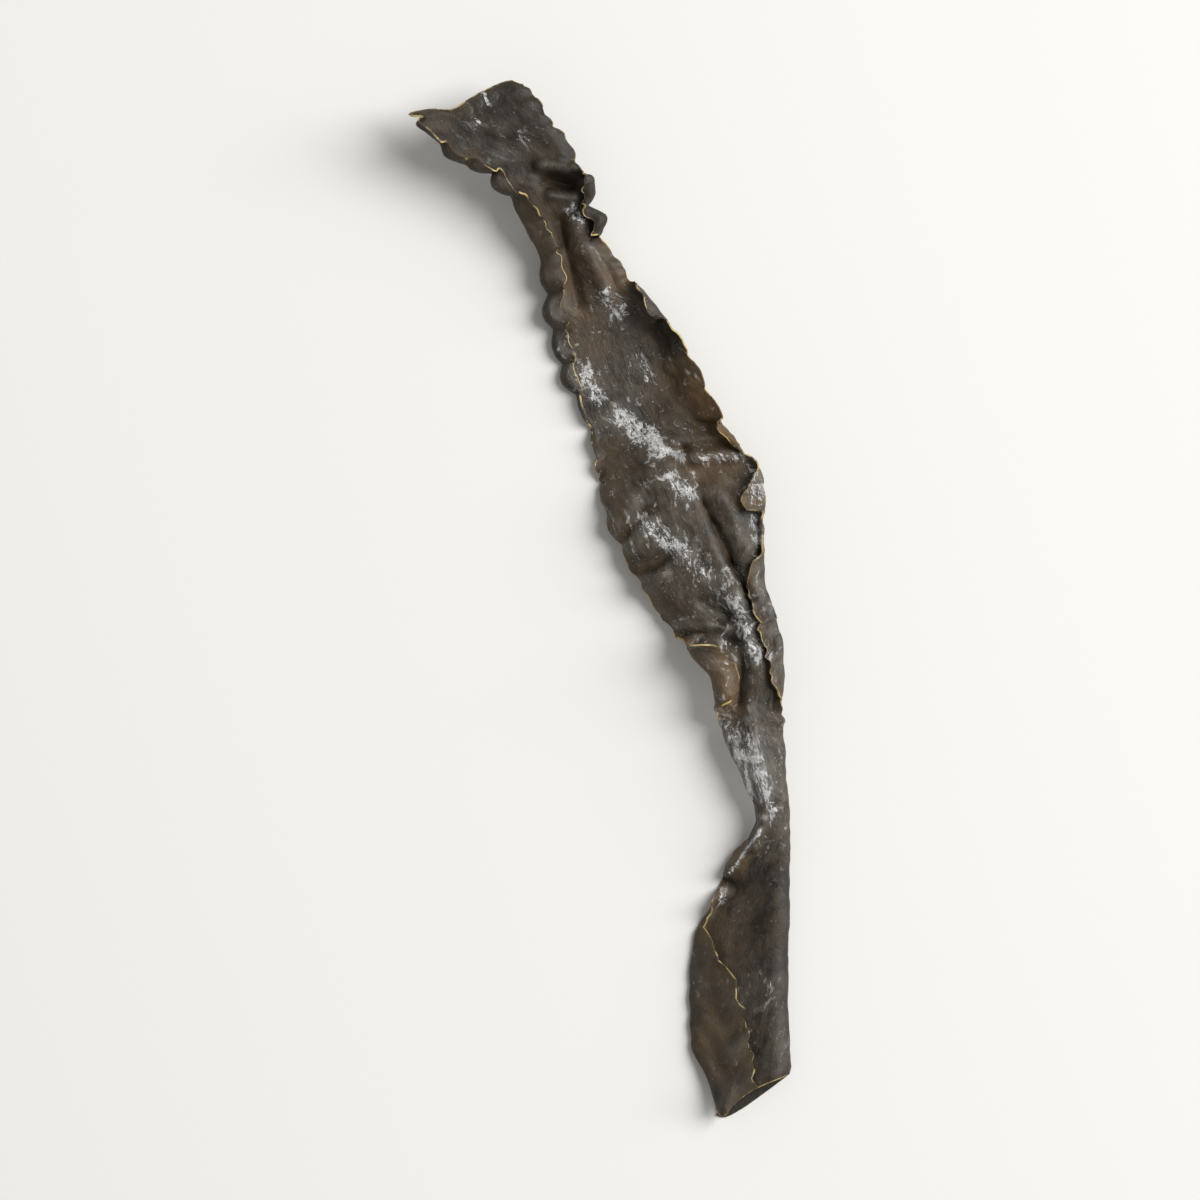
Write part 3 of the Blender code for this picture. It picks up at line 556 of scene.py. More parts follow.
# Patches of pale bloom: two ends of a line seen from above, half width and strength.
BLOOM_PATCHES = (
    (-0.0389, 0.1671, -0.0372, 0.1629, 0.0005, 1.5),
    (-0.0420, 0.1575, -0.0395, 0.1560, 0.0022, 0.5),
    (-0.0270, 0.1525, -0.0250, 0.1508, 0.0020, 0.6),
    (-0.0095, 0.1290, -0.0070, 0.1255, 0.0022, 1.0),
    (0.0006, 0.1013, 0.0072, 0.0957, 0.0034, 0.8),
    (-0.0055, 0.0763, -0.0017, 0.0680, 0.0030, 1.0),
    (0.0117, 0.0808, 0.0150, 0.0740, 0.0030, 0.6),
    (0.0061, 0.0613, 0.0122, 0.0547, 0.0034, 1.1),
    (0.0155, 0.0552, 0.0194, 0.0491, 0.0030, 1.2),
    (0.0200, 0.0497, 0.0266, 0.0472, 0.0013, 1.3),
    (0.0310, 0.0470, 0.0462, 0.0478, 0.0017, 0.65),
    (0.0462, 0.0482, 0.0505, 0.0420, 0.0014, 0.8),
    (0.0500, 0.0400, 0.0505, 0.0330, 0.0030, 0.75),
    (0.0500, 0.0280, 0.0520, 0.0190, 0.0022, 0.9),
    (0.0228, 0.0408, 0.0283, 0.0352, 0.0032, 0.9),
    (0.0139, 0.0264, 0.0166, 0.0236, 0.0026, 0.9),
    (0.0205, 0.0205, 0.0272, 0.0165, 0.0028, 1.0),
    (0.0300, 0.0125, 0.0333, 0.0092, 0.0028, 0.8),
    (0.0430, 0.0010, 0.0507, -0.0179, 0.0028, 0.9),
    (0.0400, -0.0120, 0.0420, -0.0180, 0.0022, 0.6),
    (0.0400, -0.0397, 0.0472, -0.0524, 0.0025, 0.7),
    (0.0472, -0.0536, 0.0505, -0.0713, 0.0006, 1.1),
    (0.0483, -0.0447, 0.0533, -0.0608, 0.0020, 0.9),
    (0.0533, -0.0624, 0.0566, -0.0713, 0.0016, 0.9),
    (0.0527, -0.0746, 0.0487, -0.0810, 0.0004, 1.1),
    (0.0487, -0.0810, 0.0420, -0.0897, 0.0004, 1.1),
    (0.0400, -0.0960, 0.0390, -0.1000, 0.0016, 0.8),
    (0.0555, -0.1230, 0.0550, -0.1330, 0.0014, 0.5),
    (0.0590, -0.1400, 0.0600, -0.1480, 0.0010, 0.5),
)


def strand(values, axis):
    """Running length of a grid's points along one axis."""
    steps = np.linalg.norm(np.diff(values, axis=axis), axis=2)
    first = np.zeros_like(np.take(steps, [0], axis=axis))
    return np.concatenate([first, np.cumsum(steps, axis=axis)], axis=axis)


def facing(points):
    """Unit normals of a grid of points, upwards where the sheet lies flat."""
    down = np.gradient(points, axis=0)
    across = np.gradient(points, axis=1)
    normal = np.cross(down, across)
    return normal / np.linalg.norm(normal, axis=2, keepdims=True)


def sampled(function, *grids):
    """A function of a place, at every place of the grids."""
    flat = np.stack([grid.ravel() for grid in grids], axis=1)
    return np.array([function(Vector(place)) for place in flat]).reshape(grids[0].shape)


# The noise of the creases: its roughness, the step from octave to octave and their number, and
# its offset and gain.
CREASE_NOISE = (0.9, 2.1, 3, 1.0, 2.0)


def creased(place):
    """High along thin, wandering creases."""
    return noise.ridged_multi_fractal(place, *CREASE_NOISE) - 1.0


# Dents, creases, puckers and streaks of the dry skin: how far apart they are across the strip,
# how many times farther down it, how deep they go, and their noise and its slice.
RELIEF_KINDS = (
    (0.0120, 1.6, 0.00085, noise.noise, 3.1),
    (0.0080, 2.2, 0.000375, creased, 7.7),
    (0.0036, 1.0, 0.00026, noise.noise, 1.3),
    (0.0016, 9.0, 0.00007, noise.noise, 5.9),
)


def skin_relief(down, across):
    """How far the dry skin stands off its smooth form, at places on the flat blank."""
    relief = np.zeros_like(down)
    for apart, stretch, depth, pattern, lane in RELIEF_KINDS:
        lanes = np.full_like(down, lane)
        relief += depth * sampled(pattern, down / apart / stretch, across / apart, lanes)
    return relief


def frill(down, aside, lane):
    """Small, uneven swing of the free edges, another on each side of the strip."""
    flat = np.zeros_like(down)
    lanes = SIDE_LANES * np.sign(aside) + lane
    return sum(reach * sampled(noise.noise, down / length, flat, lanes + length * LENGTH_LANES)
               for length, reach in FRILLS)


def patches(table, x, y):
    """Strength of a table's patches at a place seen from above."""
    return np.max([most * np.exp(-gap_to_line(x, y, *line) / (PATCH_SPREAD * half_width) ** 2)
                   for *line, half_width, most in table], axis=0)


def softened(values, rounds):
    """A grid smoothed by its neighbours, a number of times."""
    for _ in range(rounds):
        padded = np.pad(values, 1, mode="edge")
        values = (padded[:-2, 1:-1] + padded[2:, 1:-1] + padded[1:-1, :-2]
                  + padded[1:-1, 2:] + 2 * values) / 6
    return values


def skin_data():
    """The skin's middle, its half thickness, its flat blank, and what its material reads."""
    middle = sheet(SKIN_ROWS, SKIN_LEFT_CELLS, SKIN_BASE_CELLS, SKIN_RIGHT_CELLS)
    across = strand(middle, 1)
    centre = SKIN_LEFT_CELLS + SKIN_BASE_CELLS // 2
    aside = across - across[:, centre:centre + 1]
    down = np.repeat(strand(middle, 0)[:, centre:centre + 1], across.shape[1], axis=1)
    normal = facing(middle)
    along = np.repeat(row_places(SKIN_ROWS)[:, None], aside.shape[1], axis=1)
    calm = smooth_step(0.0, FLOOR_CALM, middle[:, :, 2] - FLOOR)
    relief = skin_relief(down, aside) * calm * through(RELIEF, along)
    edge = np.minimum(across, across[:, -1:] - across)
    edge = np.minimum(edge, np.minimum(down, down[-1:] - down))
    swing = frill(down, aside, 0.0) * np.exp(-(edge / FRILL_RUN) ** EDGE_FADE) * calm
    jag = frill(down, aside, JAG_LANES) * np.exp(-(edge / JAG_RUN) ** EDGE_FADE)
    jag *= (JAG_SHARE + ROLL_JAG * smooth_step(*ROLL, along)) * calm
    outward = np.gradient(middle, axis=1)
    outward /= np.linalg.norm(outward, axis=2, keepdims=True)
    middle = middle + normal * (relief + swing)[:, :, None] + outward * jag[:, :, None]
    normal = facing(middle)
    thin = smooth_step(0.0, THIN_RUN, edge)
    up = normal[:, :, 2]
    columns = np.arange(aside.shape[1])[None, :]
    in_left = smooth_step(-SKIN_LEFT_CELLS, -SKIN_LEFT_CELLS / 2, -columns)
    in_right = smooth_step(0, SKIN_RIGHT_CELLS / 3, columns - SKIN_LEFT_CELLS - SKIN_BASE_CELLS)
    # Painted shade in the small curls of the margins.
    curl_shade = in_left * through(LEFT_CURL_SHADE, along) + in_right * through(RIGHT_CURL_SHADE, along)
    # Painted shade: from the waist down the right side is darker.
    right_shade = RIGHT_SIDE_SHADE * smooth_step(*RIGHT_SHADE_ACROSS, aside) * smooth_step(*RIGHT_SHADE_ALONG, along)
    half = (EDGE_THICKNESS + (THICKNESS - EDGE_THICKNESS) * thin) / 2
    x, y, z = np.moveaxis(middle, 2, 0)
    raised = (relief - softened(relief, FINE_ROUNDS)) / FINE_RISE
    raised += (z - softened(z, BROAD_ROUNDS)) / BROAD_RISE
    layers = {
        "edge": edge,
        "bloom": patches(BLOOM_PATCHES, x, y),
        "warm_and_glow": patches(WARM_AND_GLOW_PATCHES, x, y),
        # Silvery skin, partly rubbed and partly a painted sheen, less the painted shade on the
        # right.
        "silver": through(SILVER, along) - right_shade,
        # Lighter where raised and darker where sunk in the colour: painted shade.
        "raised": np.clip(raised, -1, 1),
        "rough": through(RELIEF, along),
        # Painted shade inside the roll.
        "inner": in_right * smooth_step(*ROLL, along),
        "curl_shade": curl_shade,
        "top": (smooth_step(*FACES_UP, up), smooth_step(*FACES_UP, -up)),
    }
    return middle, normal * half[:, :, None], (down, aside), layers


def skin_mesh(name):
    """One closed mesh of the two faces and the rim between them."""
    middle, half, blank, layers = skin_data()
    rows, columns = middle.shape[:2]
    count = rows * columns
    index = np.arange(count).reshape(rows, columns)
    a, b = index[:-1, :-1].ravel(), index[1:, :-1].ravel()
    c, d = index[1:, 1:].ravel(), index[:-1, 1:].ravel()
    upper = np.stack([a, b, c, d], axis=1)
    lower = np.stack([d, c, b, a], axis=1) + count
    rim = np.concatenate([index[0, ::-1], index[1:, 0], index[-1, 1:], index[-2:0:-1, -1]])
    after = np.roll(rim, -1)
    border = np.stack([rim, rim + count, after + count, after], axis=1)
    faces = np.concatenate([upper, lower, border])
    mesh = bpy.data.meshes.new(name)
    points = np.concatenate([middle + half, middle - half]).reshape(-1, 3)
    mesh.from_pydata(points.tolist(), [], faces.tolist())
    corner = np.empty(len(mesh.loops), dtype=np.int32)
    mesh.loops.foreach_get("vertex_index", corner)
    flat = np.stack(blank, axis=2).reshape(-1, 2)
    mesh.uv_layers.new(name="blank").data.foreach_set("uv", flat[corner % count].ravel())
    for key, value in layers.items():
        layer = mesh.attributes.new(key, "FLOAT", "POINT")
        both = np.broadcast_to(value, (2, rows, columns))
        layer.data.foreach_set("value", both.ravel().astype(np.float32))
    mesh.shade_smooth()
    mesh.set_sharp_from_angle(angle=SHARP_ANGLE)
    return mesh


class Wire:
    """A node's output that takes part in Python sums, each of which adds its Math node."""

    def __init__(self, bench, socket):
        self.bench = bench
        self.socket = socket

    def math(self, operation, *values, clamp=False):
        settings = {"operation": operation, "use_clamp": clamp}
        return self.bench.add("ShaderNodeMath", settings, dict(enumerate(values)))

    def __add__(self, other):
        return self.math("ADD", self, other)

    __radd__ = __add__

    def __sub__(self, other):
        return self.math("SUBTRACT", self, other)

    def __rsub__(self, other):
        return self.math("SUBTRACT", other, self)

    def __mul__(self, other):
        return self.math("MULTIPLY", self, other)

    __rmul__ = __mul__

    def within(self, low, high):
        """0 at low and under, 1 at high and over."""
        return self.math("DIVIDE", self - low, high - low, clamp=True)

    def at_least(self, other):
        """The larger of the two."""
        return self.math("MAXIMUM", self, other)

    def beside(self, output):
        """Another output of the same node."""
        return Wire(self.bench, self.socket.node.outputs[output])


class Bench:
    """Adds nodes to a tree: a type, its settings, then what goes into its sockets."""

    def __init__(self, tree):
        self.tree = tree

    def add(self, kind, settings=None, inputs=None, output=0):
        node = self.tree.nodes.new(kind)
        for key, value in (settings or {}).items():
            setattr(node, key, value)
        for key, value in (inputs or {}).items():
            if isinstance(value, Wire):
                self.tree.links.new(value.socket, node.inputs[key])
            else:
                node.inputs[key].default_value = value
        return Wire(self, node.outputs[output]) if node.outputs else None

    def attribute(self, name):
        return self.add("ShaderNodeAttribute", {"attribute_name": name}, output="Fac")

    def place(self):
        return self.add("ShaderNodeTexCoord", output="Object")

    def stretched(self, place, first=1.0, second=1.0):
        """A place on which patterns come out longer one way, the smaller the number is."""
        return self.add("ShaderNodeVectorMath", {"operation": "MULTIPLY"},
                        {0: place, 1: (first, second, 1.0)})

    def grain(self, place, scale, detail=3.0, roughness=0.55, distortion=0.0):
        return self.add("ShaderNodeTexNoise", inputs={
            "Vector": place, "Scale": scale, "Detail": detail, "Roughness": roughness,
            "Distortion": distortion})

    def blend(self, share, first, second):
        """A colour between two, each of which is a link or three numbers."""
        first, second = (item if isinstance(item, Wire) else (*item, 1.0)
                         for item in (first, second))
        return self.add("ShaderNodeMix", {"data_type": "RGBA"},
                        {0: share, 6: first, 7: second}, output=2)

    def surface(self, inputs):
        """The shader of a material, with what goes into its sockets."""
        shader = self.add("ShaderNodeBsdfPrincipled", inputs=inputs)
        self.add("ShaderNodeOutputMaterial", inputs={"Surface": shader})


def fresh_material(name):
    """A material with nothing in its node tree, and the bench that fills it."""
    material = bpy.data.materials.new(name)
    material.use_nodes = True
    material.node_tree.nodes.clear()
    return material, Bench(material.node_tree)


# How far in from a free edge the thin skin's colour reaches, how soft the amber line's side is,
# how the silvery streaks lean, and how deep the finest relief is.
MARGIN_REACH = 0.0034
RIM_BLUR = 0.00008
STREAK_LEAN = math.radians(-11)
FINEST_DEPTH = 0.00055

# Scale, detail and roughness of the noise by which the bloom and its grains gather.
CLUMPS = (420.0, 4.0, 0.65)


def kelp_skin(settings):
    """Dry brown-grey skin, warmer in hollows, with pale bloom and amber where it is thin.

    Painted shade darkens the hollows, the margins' curls and the roll's inside, a painted sheen
    lightens the silvery streaks, and a painted glow turns some thin patches amber.
    """
    material, bench = fresh_material("kelp_skin")
    names = ("edge", "bloom", "warm_and_glow", "silver", "raised", "rough", "inner", "curl_shade", "top")
    edge, bloom, warm_and_glow, silver, raised, rough, inner, curl_shade, top = map(bench.attribute, names)
    flat = bench.add("ShaderNodeUVMap", {"uv_map": "blank"})
    solid = bench.place()
    lengthwise = bench.stretched(flat, 0.16)
    brushed = bench.stretched(flat, 0.45)
    leaning = bench.add("ShaderNodeVectorRotate", {"rotation_type": "Z_AXIS"},
                        {"Vector": solid, "Angle": STREAK_LEAN})

    # Patterns, from the broadest to the finest, then those that are drawn out along the strip.
    broad = bench.grain(solid, 42.0, 2.0)
    cloudy = bench.grain(solid, 130.0, 4.0, 0.6)
    worn = bench.grain(flat, 190.0)
    clump = bench.grain(solid, *CLUMPS)
    torn = bench.grain(solid, 480.0, 5.0, 0.72, 1.2)
    fine = bench.grain(solid, 900.0, 3.0, 0.6)
    fleck = bench.grain(solid, 1500.0, 2.0, 0.65)
    mottle = bench.grain(brushed, 330.0, 5.0, 0.65, 0.5)
    scratch = bench.grain(bench.stretched(flat, 0.35), 900.0, 4.0, 0.7, 0.6)
    streak = bench.grain(lengthwise, 900.0, 3.0, 0.6)
    fibre = bench.grain(lengthwise, 2600.0, 2.0, 0.6)
    long_streak = bench.grain(bench.stretched(leaning, 1.0, 0.12), 800.0, 4.0, 0.7)
    hatch = bench.grain(bench.stretched(flat, 1.0, 0.14), 800.0, 2.0) * warm_and_glow
    stroke = bench.add("ShaderNodeTexNoise", {"noise_type": "RIDGED_MULTIFRACTAL"},
                       {"Vector": brushed, "Scale": 190.0, "Detail": 3.0, "Roughness": 0.6,
                        "Offset": 1.0, "Gain": 1.2})

    # The bare skin: dark, grey where it is dry, warmer in hollows, and silvery in streaks that
    # are partly rubbed skin and partly a painted sheen. Raised places are painted lighter and
    # hollows
    # darker and warmer: painted shade.
    dry = silver.within(-0.65, 0.0)
    grey_share = ((mottle - 0.5) * (dry * 1.1 + 0.6) + cloudy * 0.7 + broad * 0.9 + raised * 0.45
                  + streak * 0.5 + silver * 0.2).within(0.72, 1.52)
    skin = bench.blend(grey_share, settings.dark_skin, settings.grey_skin)
    warm_share = (warm_and_glow * 0.8 - broad * 1.2 - raised * 0.3 + cloudy * 0.9).within(-0.22, 0.43)
    skin = bench.blend(warm_share, skin, settings.warm_skin)
    # Silvery streaks on raised places: partly rubbed skin and partly a painted sheen.
    rubbed_and_sheen_share = (silver * 0.75 + long_streak * 1.2 + scratch * 0.7
                    + raised * 0.35).within(1.50, 1.84)
    skin = bench.blend(rubbed_and_sheen_share * 0.8, skin, settings.rubbed_and_sheen_skin)
    # Amber where the patches are strongest: a painted glow of light through the thin skin.
    amber_share = (warm_and_glow + cloudy * 0.5).within(1.15, 1.85)
    skin = bench.blend(amber_share, skin, settings.thin_skin)
    thin = 1 - edge.within(0.0, MARGIN_REACH)
    margin_share = thin * (cloudy * 1.2 - 0.2) * (0.4 + dry * 0.6) * (1 - curl_shade)
    skin = bench.blend(margin_share, skin, settings.thin_skin)
    shade = 0.72 + fine * 0.32 + fibre * 0.28
    skin = bench.add("ShaderNodeVectorMath", {"operation": "SCALE"}, {0: skin, "Scale": shade})
    # Painted shade in the small curls of the margins.
    skin = bench.blend(curl_shade * 0.75, skin, settings.dark_skin)

    # Bloom: thick patches, a haze round them, and dust and thin lines on both faces.
    patch = (bloom * 0.58 + torn * 1.3 + scratch * 1.2).within(1.68, 1.81)
    patch = patch * (0.3 + (fleck + scratch * 0.8).within(0.76, 1.0) * 0.7)
    haze = (bloom * 0.5 + cloudy * 0.9 + scratch * 0.3).within(0.62, 1.72) * dry * 0.15
    line_share = (torn + broad * 0.5 + bloom * 0.35).within(0.80, 1.00)
    line = stroke.within(1.45, 1.75) * line_share * (0.3 + dry * 0.6)
    dust = (fleck * 0.6 + clump * 0.8 + dry * 0.05).within(0.92, 1.01) * 0.8
    pale = (patch.at_least(haze) * top).at_least(dust.at_least(line) * 0.7)
    skin = bench.blend(pale, skin, settings.bloom)

    # The free edges: amber where they are worn, with frost on it, and painted shade inside the
    # roll.
    rim = 1 - edge.within(settings.rim_width - RIM_BLUR, settings.rim_width + RIM_BLUR)
    rim = rim * (0.05 + worn.within(0.46, 0.57) * 0.95)
    frost = (fleck + torn * 0.8).within(0.96, 1.06) * 0.5
    skin = bench.blend(rim, skin, bench.blend(frost, settings.amber, settings.bloom))
    # Painted shade inside the roll.
    skin = bench.blend(inner * 0.8, skin, settings.dark_skin)

    gloss = 0.41 - dry * 0.07 + cloudy * 0.14 + fine * 0.14 + pale * 0.40
    height = (mottle * rough * 0.8 + hatch * 0.3 + fine * 0.32 + fibre * 0.18 + fleck * 0.14
              + stroke * rough * 0.06 + pale * 0.2)
    bump = bench.add("ShaderNodeBump", inputs={
        "Strength": 0.85, "Distance": FINEST_DEPTH, "Height": height})
    bench.surface({"Base Color": skin, "Roughness": gloss, "Normal": bump,
                   "Specular IOR Level": 0.30})
    return material


def bloom_salt(settings):
    """Chalky grains of salt and sugar that dry out on the skin."""
    material, bench = fresh_material("bloom_salt")
    solid = bench.place()
    colour = bench.blend(bench.grain(solid, 700.0, 2.0), settings.colour, settings.shadow_colour)
    bump = bench.add("ShaderNodeBump", inputs={
        "Strength": 0.4, "Distance": 0.0001, "Height": bench.grain(solid, 3000.0)})
    bench.surface({"Base Color": colour, "Roughness": 0.85, "Normal": bump})
    return material


def studio_paper(settings):
    """Matt, pale backing paper with a faint tooth."""
    material, bench = fresh_material("studio_paper")
    tooth = bench.grain(bench.place(), 900.0, 2.0)
    colour = bench.blend(tooth * 0.03, settings.paper, PAPER_TOOTH)
    bench.surface({"Base Color": colour, "Roughness": 0.95, "Specular IOR Level": 0.1})
    return material


# The least and the most that a grain of bloom has of the middling width, and its length as a
# share of its own width.
GRAIN_WIDTHS = (0.45, 1.5)
GRAIN_LENGTHS = (0.6, 1.8)


def bloom_tree(grain_material):
    """Scatters small flat grains where the skin's bloom is strong, and lays them on it."""
    tree = bpy.data.node_groups.new("bloom_grains", "GeometryNodeTree")
    face = tree.interface
    face.new_socket(name="Geometry", in_out="INPUT", socket_type="NodeSocketGeometry")
    face.new_socket(name="Geometry", in_out="OUTPUT", socket_type="NodeSocketGeometry")
    for name in ("Grain Size", "Grains Per Area", "Flatness"):
        face.new_socket(name=name, in_out="INPUT", socket_type="NodeSocketFloat")
    face.new_socket(name="Seed", in_out="INPUT", socket_type="NodeSocketInt")
    bench = Bench(tree)
    given = bench.add("NodeGroupInput")

    def stored(name):
        return bench.add("GeometryNodeInputNamedAttribute", inputs={"Name": name},
                         output="Attribute")

    def chance(low, high, seed):
        """Another random number for each grain."""
        return bench.add("FunctionNodeRandomValue", inputs={2: low, 3: high, "Seed": seed},
                         output=1)

    clump = bench.grain(bench.add("GeometryNodeInputPosition"), *CLUMPS)
    strength = ((stored("bloom") * 0.9 + clump).within(0.88, 1.18)
                + clump.within(0.60, 0.66) * 0.10) * stored("top")
    seed = given.beside("Seed")
    points = bench.add("GeometryNodeDistributePointsOnFaces", inputs={
        "Mesh": given.beside("Geometry"), "Seed": seed,
        "Density": strength * given.beside("Grains Per Area")})
    grain = bench.add("GeometryNodeMeshIcoSphere", inputs={"Radius": 1.0, "Subdivisions": 1})
    width = given.beside("Grain Size") * chance(*GRAIN_WIDTHS, seed)
    scale = bench.add("ShaderNodeCombineXYZ", inputs={
        0: width * chance(*GRAIN_LENGTHS, seed + 1.0), 1: width,
        2: width * given.beside("Flatness")})
    turn = chance(0.0, 2 * math.pi, seed + 2.0)
    spin = bench.add("FunctionNodeEulerToRotation", inputs={
        0: bench.add("ShaderNodeCombineXYZ", inputs={2: turn})})
    laid = bench.add("FunctionNodeRotateRotation", {"rotation_space": "LOCAL"},
                     {0: points.beside("Rotation"), 1: spin})
    placed = bench.add("GeometryNodeInstanceOnPoints", inputs={
        "Points": points, "Instance": grain, "Rotation": laid, "Scale": scale})
    real = bench.add("GeometryNodeRealizeInstances", inputs={"Geometry": placed})
    coated = bench.add("GeometryNodeSetMaterial", inputs={
        "Geometry": real, "Material": grain_material})
    bench.add("NodeGroupOutput", inputs={"Geometry": coated})
    return tree


# The stage: half the paper's width and the colour in its tooth, the colour of the light from all
# round, and each lamp's place and width.
PAPER_HALF = 4.0
PAPER_TOOTH = (0.8, 0.79, 0.77)
ROOM_COLOUR = (1.0, 0.995, 0.98, 1.0)
KEY_LIGHT = ((2.60, 1.1, 3.20), 2.8)
LOW_LIGHT = ((4.60, 0.8, 1.95), 2.4)


def linked(name, data):
    """A new object in the scene."""
    thing = bpy.data.objects.new(name, data)
    bpy.context.scene.collection.objects.link(thing)
    return thing


def tint(name, place, default):
    """A colour that a user would change."""
    return FloatVectorProperty(name=name, description="Colour of " + place, default=default,
                               subtype="COLOR", min=0, max=1)


class KelpSkinSettings(bpy.types.PropertyGroup):
    # Also painted as shade in the margins' curls and inside the roll.
    dark_skin: tint(
        "Dark Skin", "the skin in its darkest areas", (0.0210, 0.0168, 0.0122))
    grey_skin: tint(
        "Grey Skin", "the skin where it is dry and rubbed", (0.090, 0.075, 0.057))
    warm_skin: tint(
        "Warm Skin", "the skin in folds and hollows", (0.090, 0.061, 0.035))
    # Partly rubbed skin and partly a painted sheen.
    rubbed_and_sheen_skin: tint(
        "Silvery Skin", "the skin where it is rubbed most", (0.31, 0.305, 0.295))
    thin_skin: tint(
        "Thin Skin", "the thin margins, which let light through",
        (0.120, 0.066, 0.022))
    amber: tint("Amber Edge", "the free and cut edges", (0.46, 0.34, 0.12))
    bloom: tint("Bloom", "the pale bloom on the skin", (0.66, 0.66, 0.65))
    rim_width: FloatProperty(
        name="Edge Width", description="How far the amber colour reaches in from a free edge",
        unit="LENGTH", min=0, default=0.00029)


class KelpBloomSettings(bpy.types.PropertyGroup):
    grain_size: FloatProperty(
        name="Grain Size", description="Half the width of a middling grain of bloom",
        unit="LENGTH", min=0, default=0.00010)
    per_area: FloatProperty(
        name="Grains Per Area", description="Grains on a square metre of full bloom",
        min=0, default=1.2e6)
    flatness: FloatProperty(
        name="Flatness", description="Height of a grain as a share of its width",
        subtype="FACTOR", min=0.05, max=1, default=0.35)
    seed: IntProperty(name="Seed", description="Which scatter of grains is made", default=4)
    colour: tint("Grain Colour", "the palest grains", (0.50, 0.50, 0.49))
    shadow_colour: tint("Dull Grain Colour", "the dullest grains", (0.20, 0.19, 0.17))


class KelpStageSettings(bpy.types.PropertyGroup):
    paper: tint("Paper", "the backing paper", (0.86, 0.85, 0.82))
    view_height: FloatProperty(
        name="Camera Height", description="Height of the camera over the floor",
        unit="LENGTH", default=2.60)
    lens: FloatProperty(name="Lens", description="Focal length in millimetres", default=236.0)
    key_power: FloatProperty(
        name="Key Light", description="Power of the large soft light on the right",
        unit="POWER", default=174.0)
    low_power: FloatProperty(
        name="Low Light", description="Power of the low light on the right",
        unit="POWER", default=75.0)
    sky: FloatProperty(
        name="Room Light", description="Strength of the even light from all round",
        default=0.30)


class KELP_OT_add_strip(bpy.types.Operator):
    """Make the kelp strip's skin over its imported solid"""
    bl_idname = "kelp.add_strip"
    bl_label = "Add Kelp Strip"

    def execute(self, context):
        skin = linked("kelp_strip_skin", skin_mesh("kelp_strip_skin"))
        skin.data.materials.append(kelp_skin(context.scene.kelp_skin))
        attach(skin, BODY)
        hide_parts(STRIP_NODE)
        return {"FINISHED"}


class KELP_OT_add_bloom(bpy.types.Operator):
    """Scatter grains of bloom over the strip's upper face"""
    bl_idname = "kelp.add_bloom"
    bl_label = "Add Bloom Grains"

    def execute(self, context):
        settings = context.scene.kelp_bloom
        skin = bpy.data.objects["kelp_strip_skin"]
        carrier = linked("bloom_carrier", skin.data)
        tree = bloom_tree(bloom_salt(settings))
        scatter = carrier.modifiers.new("bloom", "NODES")
        scatter.node_group = tree
        wanted = {"Grain Size": settings.grain_size, "Grains Per Area": settings.per_area,
                  "Flatness": settings.flatness, "Seed": settings.seed}
        for item in tree.interface.items_tree:
            if item.name in wanted:
                scatter[item.identifier] = wanted[item.name]
        graph = context.evaluated_depsgraph_get()
        mesh = bpy.data.meshes.new_from_object(carrier.evaluated_get(graph))
        bpy.data.objects.remove(carrier)
        if not mesh.polygons:
            raise RuntimeError("the bloom has no grains")
        mesh.name = "bloom_grains"
        grains = linked("bloom_grains", mesh)
        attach(grains, BODY)
        return {"FINISHED"}


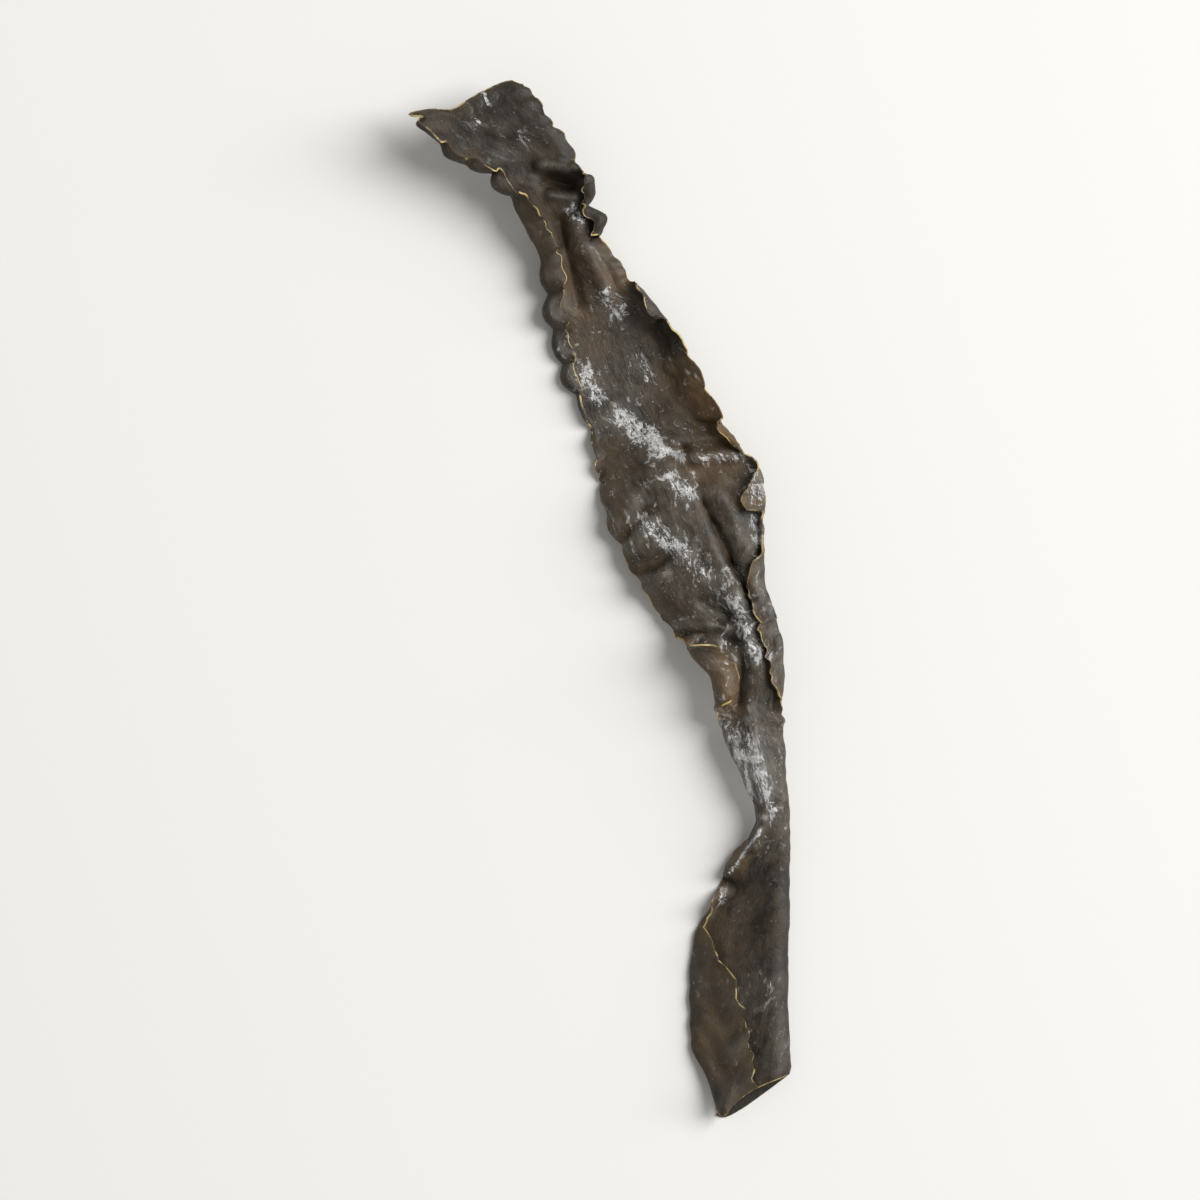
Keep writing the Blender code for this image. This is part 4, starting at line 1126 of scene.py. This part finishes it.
class KELP_OT_add_stage(bpy.types.Operator):
    """Lay the paper, hang the lights and place the camera straight above"""
    bl_idname = "kelp.add_stage"
    bl_label = "Add Stage"

    def execute(self, context):
        settings = context.scene.kelp_stage
        paper = bmesh.new()
        bmesh.ops.create_grid(paper, x_segments=8, y_segments=8, size=PAPER_HALF)
        mesh = bpy.data.meshes.new("paper_floor")
        paper.to_mesh(mesh)
        paper.free()
        floor = linked("paper_floor", mesh)
        floor.data.materials.append(studio_paper(settings))
        self.hang("key_light", *KEY_LIGHT, settings.key_power)
        self.hang("low_light", *LOW_LIGHT, settings.low_power)
        world = bpy.data.worlds.new("studio_room")
        world.use_nodes = True
        background = world.node_tree.nodes["Background"]
        background.inputs["Color"].default_value = ROOM_COLOUR
        background.inputs["Strength"].default_value = settings.sky
        context.scene.world = world
        context.scene.view_settings.view_transform = "Standard"
        data = bpy.data.cameras.new("overhead_camera")
        data.lens = settings.lens
        camera = linked("overhead_camera", data)
        low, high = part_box(STRIP_NODE)
        camera.location = ((low.x + high.x) / 2, (low.y + high.y) / 2, settings.view_height)
        context.scene.camera = camera
        return {"FINISHED"}

    def hang(self, name, place, size, power):
        """A round lamp that is turned towards the strip."""
        data = bpy.data.lights.new(name, "AREA")
        data.shape = "DISK"
        data.size = size
        data.energy = power
        lamp = linked(name, data)
        lamp.location = place
        lamp.rotation_mode = "QUATERNION"
        lamp.rotation_quaternion = (-lamp.location).to_track_quat("-Z", "Y")


class KELP_PT_panel(bpy.types.Panel):
    bl_idname = "KELP_PT_panel"
    bl_label = "Dried Kelp Strip"
    bl_space_type = "VIEW_3D"
    bl_region_type = "UI"
    bl_category = "Kelp"

    def draw(self, context):
        scene = context.scene
        groups = ((scene.kelp_skin, KELP_OT_add_strip), (scene.kelp_bloom, KELP_OT_add_bloom),
                  (scene.kelp_stage, KELP_OT_add_stage))
        for settings, operator in groups:
            box = self.layout.box()
            for name in settings.__annotations__:
                box.prop(settings, name)
            box.operator(operator.bl_idname)


CLASSES = (KelpSkinSettings, KelpBloomSettings, KelpStageSettings, KELP_OT_add_strip,
           KELP_OT_add_bloom, KELP_OT_add_stage, KELP_PT_panel)


def register():
    for item in CLASSES:
        bpy.utils.register_class(item)
    bpy.types.Scene.kelp_skin = PointerProperty(type=KelpSkinSettings)
    bpy.types.Scene.kelp_bloom = PointerProperty(type=KelpBloomSettings)
    bpy.types.Scene.kelp_stage = PointerProperty(type=KelpStageSettings)


def unregister():
    del bpy.types.Scene.kelp_stage
    del bpy.types.Scene.kelp_bloom
    del bpy.types.Scene.kelp_skin
    for item in reversed(CLASSES):
        bpy.utils.unregister_class(item)


def main():
    register()
    bpy.ops.kelp.add_strip()
    bpy.ops.kelp.add_bloom()
    bpy.ops.kelp.add_stage()


if __name__ == "__main__":
    main()
